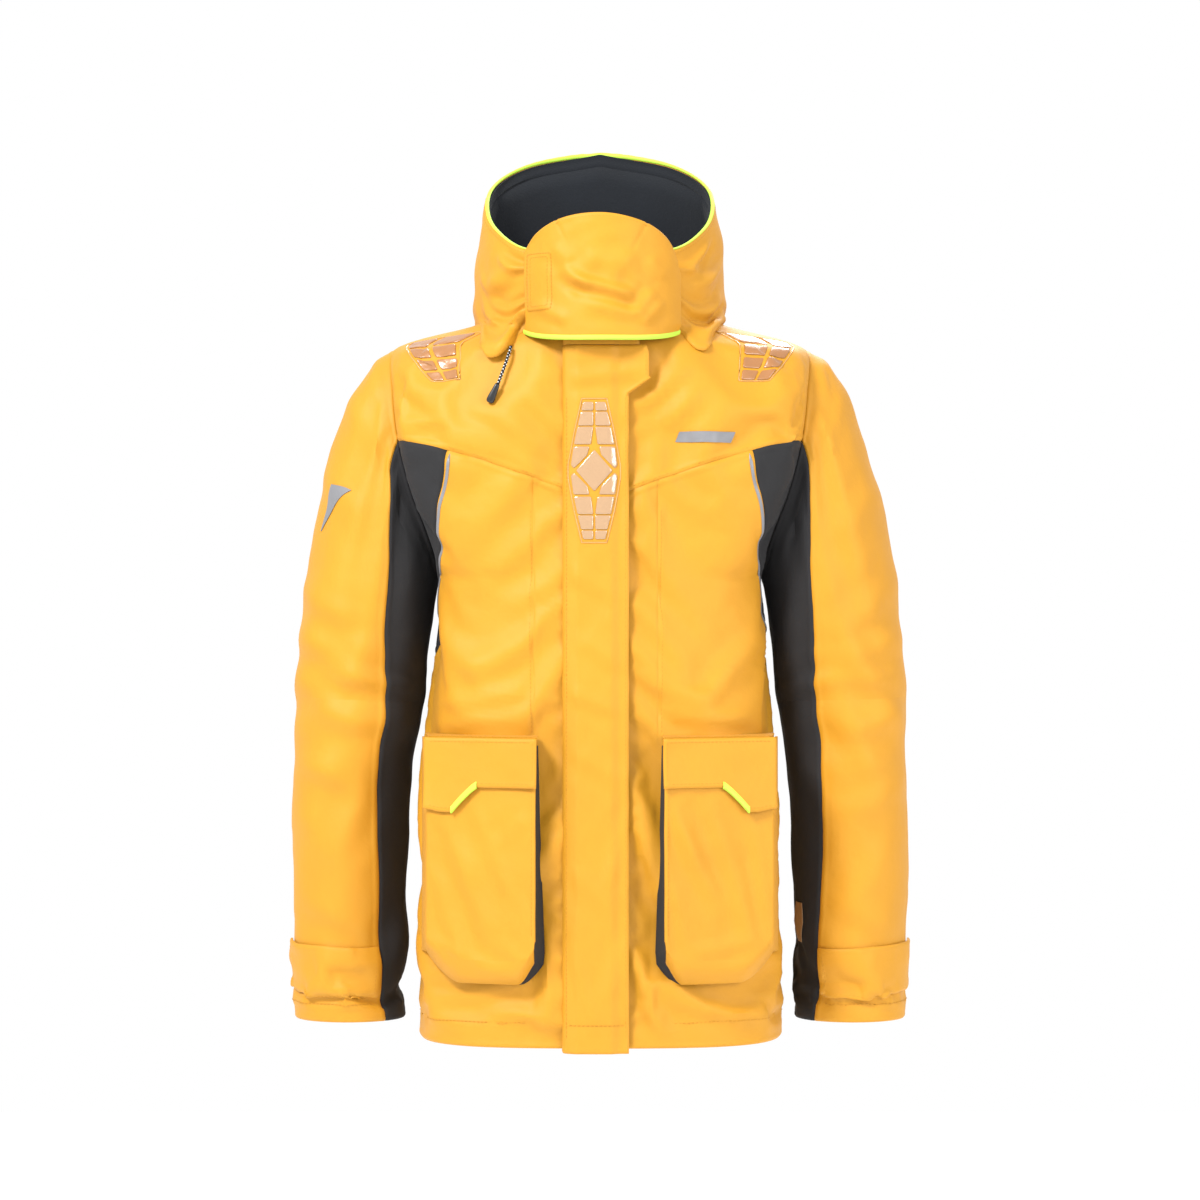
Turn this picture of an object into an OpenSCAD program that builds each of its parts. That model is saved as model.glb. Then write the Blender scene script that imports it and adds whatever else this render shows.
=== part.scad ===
// Foul weather jacket, closed, hanging as if worn, sleeves down.
// Millimetres. Origin: middle of the neck base. +X is the wearer's left, -Y is the front, +Z is up.
// "right" and "left" in a name are the wearer's right and left. drop means distance below the neck base.

/* [Cloth] */
// Thickness of the coated shell fabric
cloth = 2.6; // [2:0.2:3.4]
// Thickness of the mesh lining
lining = 1.2; // [1:0.1:1.6]
// Space between the shell and its lining
lining_gap = 2.4; // [2:0.2:3]
// Thickness of a printed patch or sewn strip
trim = 1.2; // [0.8:0.1:1.6]
// Gap between two layers that lie on each other
layer_gap = 0.4; // [0.3:0.1:0.6]

/* [Centre front] */
// Distance of the zip from the middle of the neck, at the neck base
zip_out = 124; // [122:0.5:126]
// How far the zip moves forward for each millimetre down
zip_slope = 0.04; // [0.035:0.001:0.045]
// Top of the zip above the neck base
zip_top = 66; // [60:1:68]
// Half width of the gap in the shell that the zip closes
zip_gap = 10; // [9:0.5:11]
// Width of one zip tape
tape_w = 15; // [12:1:16]
// Space under the storm flap, in front of the shell
flap_room = 9; // [8.5:0.1:10]

/* [Torso] */
// Length from the neck base to the hem
body_len = 693; // [680:1:700]
// Half depth of the armhole, front to back
armhole_y = 72; // [68:1:76]
// Drop of the armhole's top
armhole_top = 15; // [14:1:16]
// Drop of the armhole's bottom
armhole_low = 240; // [236:1:242]

/* [Cargo pockets] */
// How far a pocket stands out from the front
pocket_out = 26; // [25:0.5:28]
// How much the pocket's front turns back for each millimetre sideways
pocket_turn = 0.38; // [0.36:0.01:0.4]
// Drop of the flap's top
flap_drop = 396; // [392:1:400]
// Depth of the flap over most of its width
flap_len = 48; // [44:1:52]
// Extra depth of the flap's outer lobe
lobe_len = 24; // [20:1:28]

/* [Face guard] */
// Radius of the guard's bend around the chin
guard_r = 83.5; // [83:0.5:85]
// Height of the guard's crown above the neck base
guard_crown = 105; // [100:1:110]
// Drop of the guard's lower edge
guard_drop = 12.5; // [12:0.5:14]
// How much higher that edge is at its two ends
guard_lift = 9; // [8:0.5:11]

/* [Cuffs] */
// Drop of the sleeve's end
cuff_drop = 681; // [676:1:684]
// Width of a cuff tab, up and down
tab_w = 50; // [44:1:54]

/* [Drawcord] */
// Diameter of the collar drawcord
cord_d = 3; // [2.6:0.1:3.2]

/* [Hidden] */
right = -1;
left = 1;
zip_lean = atan(zip_slope);
shell_yellow = "#FFC23A";
charcoal = "#35333A";
fluoro = "#C9F24B";
reflective = "#B9B9BC";
moulded = "#1C1D20";

// Torso: drop, half width, back depth, squareness of the section (1 is an ellipse, less is squarer)
torso_rows = [
    [-8, 123, 104, 1.00], [0, 160, 106, 1.35], [8, 190, 109, 1.35], [16, 205, 111, 1.22],
    [60, 203, 115, 0.84], [108, 197, 118, 0.72], [160, 184, 120, 0.67], [200, 169, 120, 0.64],
    [240, 158.5, 118, 0.62], [280, 160, 115, 0.61], [315, 164, 113, 0.60], [375, 170, 114, 0.60],
    [455, 175, 117, 0.60], [535, 177, 120, 0.60], [700, 179, 125, 0.60]];
// Sleeve: ring number, outer point (x, drop), inner point (x, drop), half depth
sleeve_rows = [
    [0, 206.5, 15, 160, 240, 72], [1, 235, 35, 162, 246, 74], [2, 254, 75, 163.5, 252, 76],
    [3, 269, 115, 164.5, 260, 77], [4, 280, 160, 166, 270, 78], [5, 290, 210, 168, 285, 78],
    [6, 297, 260, 171, 305, 77], [7, 302, 310, 173.5, 335, 75], [8, 305, 360, 177, 365, 72],
    [9, 307, 420, 187, 420, 68], [10, 308, 480, 192, 480, 65], [11, 308, 560, 195, 560, 60],
    [12, 306, 640, 195, 640, 55], [13, 304, cuff_drop, 195, cuff_drop, 52]];
// Where the dark underarm cloth begins, in degrees round the sleeve from its outer line
dark_rows = [[0, 80], [2, 95], [4, 107], [6, 112], [8, 118], [10, 122], [12, 130], [13, 134]];
// Front edge of the dark side panel, in degrees round the torso from the centre front
side_rows = [[105, 41], [122, 42.5], [149, 46.5], [204, 64], [260, 73], [300, 80], [330, 89]];
// Collar: drop (above the neck base is negative), half width, back depth
collar_rows = [[-200, 104, 92], [-138, 113, 97], [-95, 121, 102], [-33, 125, 104], [-8, 123, 104]];
// Height of the collar's rim, by degrees from the centre front
rim_rows = [[0, 73], [35, 75], [60, 100], [90, 138], [135, 176], [180, 194]];
// Upper edge of the face guard, by degrees round its bend
guard_rows = [[-66, 71], [-50, 88], [-27, 101], [0, guard_crown], [25, 99], [44, 88], [56, 74], [64, 50]];
elbow = 8;
elbow_gap = 0.03;
collar_step = 8;

function mix(a, b, t) = a + (b - a) * t;
function unit(v) = v / max(norm(v), 0.000001);
function clamp(v) = min(max(v, 0), 1);
function steps(a, b, n) = [for (i = [0 : n]) mix(a, b, i / n)];

// Smooth reading of column c of a table whose first column rises
function row_at(tab, p) = max([for (i = [0 : len(tab) - 2]) if (p >= tab[i][0] || i == 0) i]);
function slope_at(tab, c, i) = let (a = max(i - 1, 0), b = min(i + 1, len(tab) - 1))
    (tab[b][c] - tab[a][c]) / (tab[b][0] - tab[a][0]);
function curve(tab, c, p) = let (
    i = row_at(tab, p),
    h = tab[i + 1][0] - tab[i][0],
    t = clamp((p - tab[i][0]) / h),
    t2 = t * t,
    t3 = t2 * t)
    (2 * t3 - 3 * t2 + 1) * tab[i][c] + (t3 - 2 * t2 + t) * h * slope_at(tab, c, i)
    + (3 * t2 - 2 * t3) * tab[i + 1][c] + (t3 - t2) * h * slope_at(tab, c, i + 1);

// Depth of the centre front line at a drop
function front_depth(d) = zip_out + zip_slope * d;
// Half depth of the armhole at a drop, 0 above and below it
armhole_mid = (armhole_top + armhole_low) / 2;
armhole_half = (armhole_low - armhole_top) / 2;
function armhole(d) = armhole_y * sqrt(max(0, 1 - pow((d - armhole_mid) / armhole_half, 2)));

// A point of the torso's outer surface, t degrees round from the centre front
function torso_front(t, d) = let (w = curve(torso_rows, 1, d), e = curve(torso_rows, 3, d), a = armhole(d))
    [w * pow(abs(sin(t)), e), -a - (front_depth(d) - a) * pow(abs(cos(t)), e), -d];
function torso_back(t, d) = let (w = curve(torso_rows, 1, d), e = curve(torso_rows, 3, d), a = armhole(d),
    s = sin(t))
    [w * sign(s) * pow(abs(s), e), a + (curve(torso_rows, 2, d) - a) * pow(abs(cos(t)), e), -d];
// Degrees round the torso where the front surface is x from the centre
function torso_turn(x, d) = asin(clamp(pow(x / curve(torso_rows, 1, d), 1 / curve(torso_rows, 3, d))));
function torso_y(x, d) = torso_front(torso_turn(x, d), d)[1];

// Yoke seam: drop at a distance x from the centre
function yoke_drop(x) = 110 + 62 * pow(clamp(1 - x / 195), 1.3);
function side_turn(d) = d >= 330 ? 90 : curve(side_rows, 1, d);

// A point of a sleeve's outer surface, ring s, a degrees round from the outer line through the front
function sleeve(a, s) = let (
    q = (1 - cos(a)) / 2,
    d = mix(curve(sleeve_rows, 2, s), curve(sleeve_rows, 4, s), q),
    d0 = mix(armhole_top, armhole_low, q),
    lift = pow(clamp(1 - s / 3), 2) * (curve(torso_rows, 1, d0) + 1.5 - mix(206.5, 160, q)))
    [mix(curve(sleeve_rows, 1, s), curve(sleeve_rows, 3, s), q) + lift, -curve(sleeve_rows, 5, s) * sin(a), -d];

// A point of the collar's outer surface
function collar(t, d) = let (c = cos(t))
    [curve(collar_rows, 1, d) * sin(t), c > 0 ? -front_depth(d) * c : -curve(collar_rows, 2, d) * c, -d];
function rim(t) = curve(rim_rows, 1, t > 180 ? 360 - t : t);

function mirrored(g, side) = [for (r = g) [for (p = r) [p[0] * side, p[1], p[2]]]];

// Direction out of a grid of surface points
function grid_normal(g, i, j, closed) = let (
    ni = len(g),
    nj = len(g[0]),
    j0 = closed ? (j + nj - 1) % nj : max(j - 1, 0),
    j1 = closed ? (j + 1) % nj : min(j + 1, nj - 1))
    unit(cross(g[min(i + 1, ni - 1)][j] - g[max(i - 1, 0)][j], g[i][j1] - g[i][j0]));

// One sheet of cloth over a grid of surface points: low and high are its faces' distances outward
module sheet(g, low, high, out = 1, closed = false) {
    ni = len(g);
    nj = len(g[0]);
    n = ni * nj;
    last = closed ? nj : nj - 1;
    high_points = [for (i = [0 : ni - 1]) for (j = [0 : nj - 1]) g[i][j] + out * high * grid_normal(g, i, j, closed)];
    low_points = [for (i = [0 : ni - 1]) for (j = [0 : nj - 1]) g[i][j] + out * low * grid_normal(g, i, j, closed)];
    quads = [for (i = [0 : ni - 2]) for (j = [0 : last - 1]) let (k = (j + 1) % nj)
        [i * nj + j, i * nj + k, (i + 1) * nj + k, (i + 1) * nj + j]];
    upper = [for (q = quads) each [[q[0], q[1], q[2]], [q[0], q[2], q[3]]]];
    lower = [for (f = upper) [f[2] + n, f[1] + n, f[0] + n]];
    rows = [for (j = [0 : last - 1]) let (k = (j + 1) % nj, e = (ni - 1) * nj)
        each [[k, j, j + n], [k, j + n, k + n], [e + j, e + k, e + k + n], [e + j, e + k + n, e + j + n]]];
    ends = closed ? [] : [for (i = [0 : ni - 2]) let (a = i * nj, b = a + nj, c = a + nj - 1, e = b + nj - 1)
        each [[a, b, b + n], [a, b + n, a + n], [e, c, c + n], [e, c + n, e + n]]];
    faces = concat(upper, lower, rows, ends);
    polyhedron(concat(high_points, low_points), out > 0 ? faces : [for (f = faces) [f[2], f[1], f[0]]], 10);
}

// A round cord or piping of radius r along a list of points
module tube(path, r, sides) {
    n = len(path);
    rings = [for (i = [0 : n - 1]) let (
        d = unit(path[min(i + 1, n - 1)] - path[max(i - 1, 0)]),
        u = unit(cross(d, abs(d[2]) > 0.9 ? [0, 1, 0] : [0, 0, 1])),
        v = cross(d, u))
        for (k = [0 : sides - 1]) path[i] + r * (cos(360 * k / sides) * u + sin(360 * k / sides) * v)];
    walls = [for (i = [0 : n - 2]) for (k = [0 : sides - 1]) let (m = (k + 1) % sides, a = i * sides, b = a + sides)
        each [[a + k, b + m, a + m], [a + k, b + k, b + m]]];
    start = [for (k = [1 : sides - 2]) [0, k, k + 1]];
    end = [for (k = [1 : sides - 2]) let (e = (n - 1) * sides) [e, e + k + 1, e + k]];
    polyhedron(rings, concat(walls, start, end), 10);
}

// Frame whose Z runs up the zip and whose -Y points out of the front
module zip_frame() {
    translate([0, -zip_out, 0])
        rotate([-zip_lean, 0, 0])
            children();
}

// ---- Torso shell ----
// Degrees round the torso, a share u of the way from the zip to the seam of the side panel
function front_turn(u, d) = mix(torso_turn(zip_gap, d), side_turn(d), u);
// Drop where the line turn(d) crosses the yoke seam, found by repeating a first guess
function seam_drop(turn, d = 130, n = 6) = n == 0 ? d
    : seam_drop(turn, yoke_drop(torso_front(turn(d), d)[0]), n - 1);
seam_gap = 0.5;

module front_panel(side) {
    g = [for (v = steps(0, 1, 20))
        [for (u = steps(0, 1, 9)) let (
            turn = function(d) front_turn(u, d),
            d = mix(seam_drop(turn) + seam_gap, body_len, v))
            torso_front(turn(d), d)]];
    sheet(mirrored(g, side), -cloth, 0, side);
}

module side_panel(side) {
    g = [for (v = steps(0, 1, 12))
        [for (u = steps(0, 1, 6)) let (
            turn = function(d) mix(side_turn(d) + 1.6, 90, u),
            d = mix(seam_drop(turn) + seam_gap, 318, v))
            torso_front(turn(d), d)]];
    sheet(mirrored(g, side), -cloth, 0, side);
}

module reflective_piping(side) {
    path = [for (d = steps(124, 300, 12)) let (t = side_turn(d) - 2) torso_front(t, d) + 3.4 * [sin(t), -cos(t), 0]];
    tube([for (p = path) [p[0] * side, p[1], p[2]]], 1.5, 6);
}

module front_yoke(side) {
    g = [for (v = [0, 0.05, 0.1, 0.17, 0.25, 0.4, 0.6, 0.8, 1])
        [for (u = steps(0, 1, 10)) let (
            turn = function(d) mix(torso_turn(zip_gap, d), 90, u),
            d = mix(-8, seam_drop(turn) - seam_gap, v))
            torso_front(turn(d), d)]];
    sheet(mirrored(g, side), -cloth, 0, side);
}

back_turns = steps(91, 269, 18);
back_drops = concat(steps(122, 240, 5), steps(262, body_len, 12));
module back_panel() {
    g = [for (d = back_drops) [for (t = back_turns) torso_back(t, d)]];
    sheet(g, -cloth, 0);
}

module back_yoke() {
    g = [for (d = [-8, -2, 6, 14, 24, 40, 60, 85, 105, 120])
        [for (t = steps(91, 269, 16)) torso_back(t, d)]];
    sheet(g, -cloth, 0);
}

lining_out = -cloth - lining_gap;
module lining_front(side) {
    g = [for (d = concat(steps(45, 236, 6), steps(262, body_len - 34, 8)))
        [for (u = steps(0, 1, 6)) torso_front(mix(torso_turn(zip_gap + 12, d), 88, u), d)]];
    sheet(mirrored(g, side), lining_out - lining, lining_out, side);
}

module lining_back() {
    g = [for (d = concat([30, 60, 85, 105], [for (d = back_drops) if (d < body_len - 34) d]))
        [for (t = back_turns) torso_back(t, d)]];
    sheet(g, lining_out - lining, lining_out);
}

module hem_facing() {
    g = [for (d = [body_len - 30, body_len - 2])
        concat([for (t = steps(14, 89, 9)) torso_front(t, d)], [for (t = steps(93, 267, 16)) torso_back(t, d)],
            [for (t = steps(89, 14, 9)) let (p = torso_front(t, d)) [-p[0], p[1], p[2]]])];
    sheet(g, lining_out - lining, lining_out);
}

// ---- Collar ----
function collar_grid(first, last, n, low) = [for (v = steps(0, 1, 6))
    [for (t = steps(first, last, n)) collar(t, -mix(rim(t), low, v))]];

module collar_shell() {
    sheet(collar_grid(5, 355, 28, collar_step + 1.5), -cloth, 0);
}

// The fleece stands away from the shell round the back, where the hood is rolled
function hood_room(t) = 17 * pow(clamp((abs(180 - t) < 75 ? cos((180 - t) * 1.2) : 0)), 0.6);
module collar_lining() {
    g = [for (v = steps(0, 1, 5)) [for (t = steps(6, 354, 28)) let (
        p = collar(t, -mix(rim(t) - 3, collar_step + 0.4, v)),
        in = 4.2 + hood_room(t) * sin(20 + 140 * v))
        [p[0] * (1 - in / 122), p[1] * (1 - in / 112), p[2]]]];
    sheet(g, -2.4, 0);
}

module collar_piping() {
    tube([for (t = steps(5, 355, 34)) let (p = collar(t, -rim(t)), f = 1 - 2 / 115) [p[0] * f, p[1] * f, p[2] + 3.4]],
        3, 6);
}

module stowed_hood() {
    tube([for (t = steps(143, 217, 10)) let (p = collar(t, -110), f = 1 - 9.6 / 112) [p[0] * f, p[1] * f, p[2]]],
        4.5, 8);
}

// A strap across the back of the neck, held off the cloth at its two ends
loop_w = 60;
loop_y = 87;
module hanging_loop() {
    translate([-loop_w / 2, loop_y, -9])
        cube([loop_w, 2, 8]);
    for (s = [-1, 1])
        translate([s * (loop_w / 2 - 2) - 2, loop_y + 1.9, -9])
            cube([4, 8, 8]);
}

// ---- Main zip ----
zip_low = -(body_len - 6);
function tape_grid(side) = [for (z = steps(zip_top, zip_low, 14))
    [for (x = [3.4, 3.4 + tape_w]) [side * x, -front_depth(-z) , z]]];

module zip_tape(side) {
    color("#26272B")
        sheet(tape_grid(side), layer_gap, layer_gap + 0.9, side);
}

chain_in = 0.8;
chain_out = 3.2;
module zip_chain(side) {
    color(moulded)
        zip_frame()
            translate([side > 0 ? chain_in : -chain_out, -2, zip_low])
                cube([chain_out - chain_in, 3, zip_top - zip_low]);
}

slider_z = zip_top - 16;
slider_w = 10;
slider_h = 12;
plate = 1.4;
module zip_slider() {
    color("#4A4B50")
        zip_frame()
            translate([0, 0, slider_z]) {
                translate([-slider_w / 2, -2.6 - plate, 0])
                    cube([slider_w, plate, slider_h]);
                translate([-slider_w / 2, 1.6, 0])
                    cube([slider_w, plate, slider_h]);
                translate([-0.4, -2.6, slider_h - 3])
                    cube([0.8, 4.2, 3]);
                for (s = [-1, 1])
                    translate([s * 2.2 - 0.5, -6.2, slider_h - 4])
                        cube([1, 2.2, 3]);
                translate([-2.7, -5.2, slider_h - 2.5])
                    rotate([0, 90, 0])
                        cylinder(d = 1, h = 5.4, $fn = 24);
            }
}

puller_len = 15;
module zip_puller() {
    color(moulded)
        zip_frame()
            translate([0, -5.2, slider_z + slider_h - 2.5])
                difference() {
                    union() {
                        translate([-1.3, 0, 0])
                            rotate([0, 90, 0])
                                cylinder(d = 2, h = 2.6, $fn = 24);
                        translate([-1.3, -1, -5])
                            cube([2.6, 1.6, 5]);
                        translate([-3.5, -1, -puller_len])
                            cube([7, 1.6, puller_len - 4.5]);
                    }
                    translate([-2, 0, 0])
                        rotate([0, 90, 0])
                            cylinder(d = 1.3, h = 4, $fn = 24);
                }
}

// ---- Storm flap ----
flap_x = -36;
flap_top = 22;
// Free edge of the flap at a drop: a wide lobe at the top, then straight
function flap_edge(d) = d < 52 ? 47 : d < 66 ? mix(49, 28, (d - 52) / 14) : 27.5;
function flap_rise(x) = mix(1.3, flap_room, pow(clamp((x - flap_x) / 14), 0.7));
module storm_flap() {
    g = [for (d = concat([flap_top, 38, 52, 59, 66], steps(100, body_len - 3, 14)))
        [for (u = [0, 0.08, 0.2, 0.5, 1]) let (x = mix(flap_x, flap_edge(d), u))
            [x, -front_depth(d) - flap_rise(x), -d]]];
    sheet(g, 0, cloth);
}

strip_len = 84;
strip_drops = [110, 240, 370, 500, 600];
module closure_strips(low, x) {
    for (d = strip_drops)
        zip_frame()
            translate([x, -low - 1.8, -d - strip_len])
                cube([7, 1.8, strip_len]);
}

// Half width of the chest patch at a drop
patch_rows = [[72, 12], [104, 19], [136, 25], [148, 25], [180, 19], [210, 12]];
module chest_patch() {
    color("#E9A46A")
        sheet([for (r = patch_rows) [for (u = [-1, -0.33, 0.33, 1]) let (x = -5.5 + r[1] * u)
            [x, -front_depth(r[0]) - flap_room - cloth - layer_gap, -r[0]]]], 0, trim);
}

// ---- Face guard ----
guard_mid = [2, -70];
function guard_point(a, z) = [guard_mid[0] + guard_r * sin(a), guard_mid[1] - guard_r * cos(a), z];
function guard_grid(first, last, n, rows) = [for (v = steps(0, 1, rows)) [for (a = steps(first, last, n))
    guard_point(a, mix(curve(guard_rows, 1, a), guard_low(a), v))]];

function guard_low(a) = -guard_drop + guard_lift * pow(abs(a) / 65, 3);

module face_guard() {
    sheet(guard_grid(-65, 64, 16, 6), -cloth, 0);
}

module face_guard_hem() {
    sheet([for (z = [-0.2, -4.2]) [for (a = steps(-65, 64, 16)) guard_point(a, guard_low(a) + z)]], -cloth, 0.4);
}

// Hook strip inside the guard's free end
module face_guard_hook() {
    sheet([for (z = [62, 6]) [for (a = steps(-60, -43, 3)) guard_point(a, z)]], -cloth - 2.3, -cloth - 0.5);
}

// Loop strip on the collar, under the guard's free end
module face_guard_loop() {
    sheet([for (z = [62, 34, 11]) [for (t = steps(22, 34, 4)) let (p = collar(t, -z)) [-p[0], p[1], p[2]]]],
        0.1, 1.6, -1);
}

// ---- Shoulder patches ----
patch_lift = 1.4;
module shoulder_patch(side) {
    g = [for (v = steps(0, 1, 5)) [for (u = steps(0, 1, 4))
        torso_front(mix(mix(48, 74, u), mix(39.5, 52, u), v), mix(mix(2, 10, u), 50, v))]];
    color("#B98A63")
        sheet(mirrored(g, side), patch_lift, patch_lift + trim, side);
}

// ---- Cargo pockets ----
pocket_in = 62;
pocket_end = 168;
pocket_mouth = 404;
pocket_low = 632;
// Height of the pocket's straight front over the middle, at x from the centre and a drop
function pocket_y(x, d) = -front_depth(d) - pocket_out + pocket_turn * (x - pocket_in);
// Drop of the pocket's lower edge, cut back at both corners
function pocket_floor(x) = pocket_low - 22 * pow(clamp(1 - (x - pocket_in) / 16), 1.5)
    - 26 * pow(clamp((x - pocket_end + 34) / 34), 1.6);
pocket_xs = [62, 68, 76, 88, 100, 112, 124, 136, 148, 158, 166, 170, 172.5, 174];
function pocket_point(x, v) = let (
    floor = pocket_floor(x),
    d = mix(pocket_mouth, floor, v),
    side_wall = clamp((x - 166) / 8),
    on = torso_y(min(x, curve(torso_rows, 1, d) * 0.985) - 3 * side_wall, d) - 2.4,
    out = mix(pocket_y(x, d), on - 4, pow(side_wall, 1.5)),
    close = pow(clamp((floor - d) / 16), 0.5))
    [x, mix(on - cloth, min(out, on - cloth), close), -d];

module pocket(side) {
    g = [for (v = [0, 0.2, 0.4, 0.6, 0.75, 0.85, 0.92, 0.95, 0.98, 1])
        [for (x = pocket_xs) pocket_point(x, v)]];
    sheet(mirrored(g, side), -cloth, 0, side);
}

module pocket_gusset(side) {
    g = [for (v = steps(0, 0.9, 8)) let (p = pocket_point(pocket_in, v), d = -p[2])
        [for (u = steps(0, 1, 3)) [mix(52, 59.5, u), mix(torso_y(52, d) - cloth - 0.8, p[1] - 0.4, u), p[2]]]];
    sheet(mirrored(g, side), -cloth + 0.6, 0, side);
}

flap_rest = 1.6;
function pocket_flap_edge(x) = flap_drop + flap_len + lobe_len * pow(clamp((x - 118) / 24), 1.2);
function pocket_flap_point(x, d, rise) = [x, pocket_y(x, d) - flap_rest - rise, -d];
module pocket_flap(side) {
    g = [for (v = steps(0, 1, 6)) [for (x = concat(steps(61, 118, 3), steps(124, 142, 3), steps(152, 170, 2)))
        pocket_flap_point(x, mix(flap_drop, pocket_flap_edge(x) - (x > 160 ? 2 : 0), v), 0)]];
    sheet(mirrored(g, side), 0, cloth, side);
}

module flap_accent(side) {
    g = [for (v = [-7, -1.5]) [for (x = steps(117, 143, 4)) pocket_flap_point(x, pocket_flap_edge(x) + v, cloth + 0.3)]];
    color(fluoro)
        sheet(mirrored(g, side), 0, trim, side);
}

// ---- Sleeves ----
module sleeve_part(side, first, last, rows, from, to, n) {
    g = [for (s = steps(first, last, rows)) let (dark = curve(dark_rows, 1, s))
        [for (u = steps(0, 1, n)) sleeve(mix(from < 0 ? -dark + 0.6 : dark + 0.6, to < 0 ? 360 - dark - 0.6 : dark - 0.6, u), s)]];
    sheet(mirrored(g, side), -cloth, 0, -side);
}
module outer_sleeve(side, first, last, rows) {
    color(shell_yellow)
        sleeve_part(side, first, last, rows, -1, 1, 16);
}
module inner_sleeve(side, first, last, rows) {
    color(charcoal)
        sleeve_part(side, first, last, rows, 1, -1, 8);
}

module inner_cuff(side) {
    g = [for (k = [0, 1, 2]) [for (a = steps(0, 342, 19)) let (p = sleeve(a, mix(12.2, 12.8, k / 2)), c = [250, 0])
        [side * (c[0] + (p[0] - c[0]) * (0.86 - 0.07 * k)), p[1] * (0.86 - 0.07 * k), p[2]]]];
    color(charcoal)
        sheet(g, -2, 0, -side, true);
}

tab_mid = 627;
module cuff_tab(side) {
    g = [for (v = steps(0, 1, 2)) [for (a = steps(126, -4, 12)) let (
        d = tab_mid + tab_w * (v - 0.5) + 4 * sin(a),
        p = sleeve(a, 11 + (d - 560) / 80))
        [side * (p[0] + (p[0] - 250) * 0.03 * clamp((40 - a) / 40)), p[1], -d]]];
    color(shell_yellow)
        sheet(g, layer_gap + 0.6, layer_gap + 0.6 + cloth, side);
}

// A slim plain triangle on the wearer's right upper sleeve
module sleeve_badge() {
    g = [for (v = steps(0, 1, 4)) [for (u = [0, 1]) let (s = mix(4.2, 5.1, v), w = mix(1, 9, 1 - v))
        sleeve(mix(52, 52 + w, u), s)]];
    color(reflective)
        sheet(mirrored(g, right), layer_gap, layer_gap + 0.8, -right);
}

// Hard-wearing patch on the wearer's left inner forearm
module wear_patch() {
    g = [for (s = steps(11.1, 11.5, 3)) [for (a = steps(150, 168, 3)) sleeve(a, s)]];
    color("#8A7658")
        sheet(mirrored(g, left), layer_gap, layer_gap + 0.8, -left);
}

// ---- Collar drawcord ----
// It leaves the collar's lower edge, hangs in front of the yoke and ends in a moulded pull
cord_route = [[-86, -113.4, -20], [-86.5, -114.6, -22], [-87, -115.7, -24], [-87.7, -116.7, -26.5],
    [-88.4, -117.6, -29], [-89.2, -118.5, -31.5], [-90, -119.3, -34], [-90.8, -120, -36.5],
    [-91.7, -120.7, -39], [-92.6, -121.3, -41.5], [-93.5, -121.9, -44], [-94.4, -122.4, -46.5],
    [-95.3, -122.9, -49], [-96.2, -123.4, -51.5], [-97.1, -123.8, -54], [-98.2, -124.3, -57]];
module drawcord() {
    color("#2A2A2C")
        tube(cord_route, cord_d / 2, 8);
}
module drawcord_pull() {
    color(moulded)
        translate(cord_route[len(cord_route) - 1] + [-0.2, -1.4, 0])
            rotate([0, 24, 0])
                translate([-4, -3, -20])
                    cube([8, 6, 19.9]);
}

color(shell_yellow) front_panel(right);  // front_panel_right
color(shell_yellow) front_panel(left);  // front_panel_left
color(charcoal) side_panel(right);  // side_panel_right
color(charcoal) side_panel(left);  // side_panel_left
color(reflective) reflective_piping(right);  // reflective_piping_right
color(reflective) reflective_piping(left);  // reflective_piping_left
color(shell_yellow) front_yoke(right);  // front_yoke_right
color(shell_yellow) front_yoke(left);  // front_yoke_left
color(shell_yellow) back_panel();
color(shell_yellow) back_yoke();
color("#4C4E56") lining_front(right);  // lining_right
color("#4C4E56") lining_front(left);  // lining_left
color("#4C4E56") lining_back();
color(charcoal) hem_facing();
color(shell_yellow) collar_shell();
color("#23252D") collar_lining();
color(fluoro) collar_piping();
color(fluoro) stowed_hood();
color(charcoal) hanging_loop();
zip_tape(right);  // zip_tape_right
zip_tape(left);  // zip_tape_left
zip_chain(right);  // zip_chain_right
zip_chain(left);  // zip_chain_left
zip_slider();
zip_puller();
color(shell_yellow) storm_flap();
color(moulded) closure_strips(flap_room - 1.9, 19.5);  // storm_flap_hook
color(moulded) closure_strips(0.1, 19.5);  // storm_flap_loop
chest_patch();
color(shell_yellow) face_guard();
color(fluoro) face_guard_hem();
color(moulded) face_guard_hook();
color(moulded) face_guard_loop();
shoulder_patch(right);  // shoulder_patch_right
shoulder_patch(left);  // shoulder_patch_left
color(shell_yellow) pocket(right);  // pocket_right
color(shell_yellow) pocket(left);  // pocket_left
color(charcoal) pocket_gusset(right);  // pocket_gusset_right
color(charcoal) pocket_gusset(left);  // pocket_gusset_left
color(shell_yellow) pocket_flap(right);  // pocket_flap_right
color(shell_yellow) pocket_flap(left);  // pocket_flap_left
flap_accent(right);  // flap_accent_right
flap_accent(left);  // flap_accent_left
outer_sleeve(right, 0, elbow - elbow_gap, 9);  // upper_sleeve_right
outer_sleeve(left, 0, elbow - elbow_gap, 9);  // upper_sleeve_left
inner_sleeve(right, 0, elbow - elbow_gap, 9);  // underarm_right
inner_sleeve(left, 0, elbow - elbow_gap, 9);  // underarm_left
outer_sleeve(right, elbow + elbow_gap, 13, 8);  // lower_sleeve_right
outer_sleeve(left, elbow + elbow_gap, 13, 8);  // lower_sleeve_left
inner_sleeve(right, elbow + elbow_gap, 13, 8);  // forearm_right
inner_sleeve(left, elbow + elbow_gap, 13, 8);  // forearm_left
inner_cuff(right);  // inner_cuff_right
inner_cuff(left);  // inner_cuff_left
cuff_tab(right);  // cuff_tab_right
cuff_tab(left);  // cuff_tab_left
sleeve_badge();
wear_patch();
drawcord();
drawcord_pull();
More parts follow.
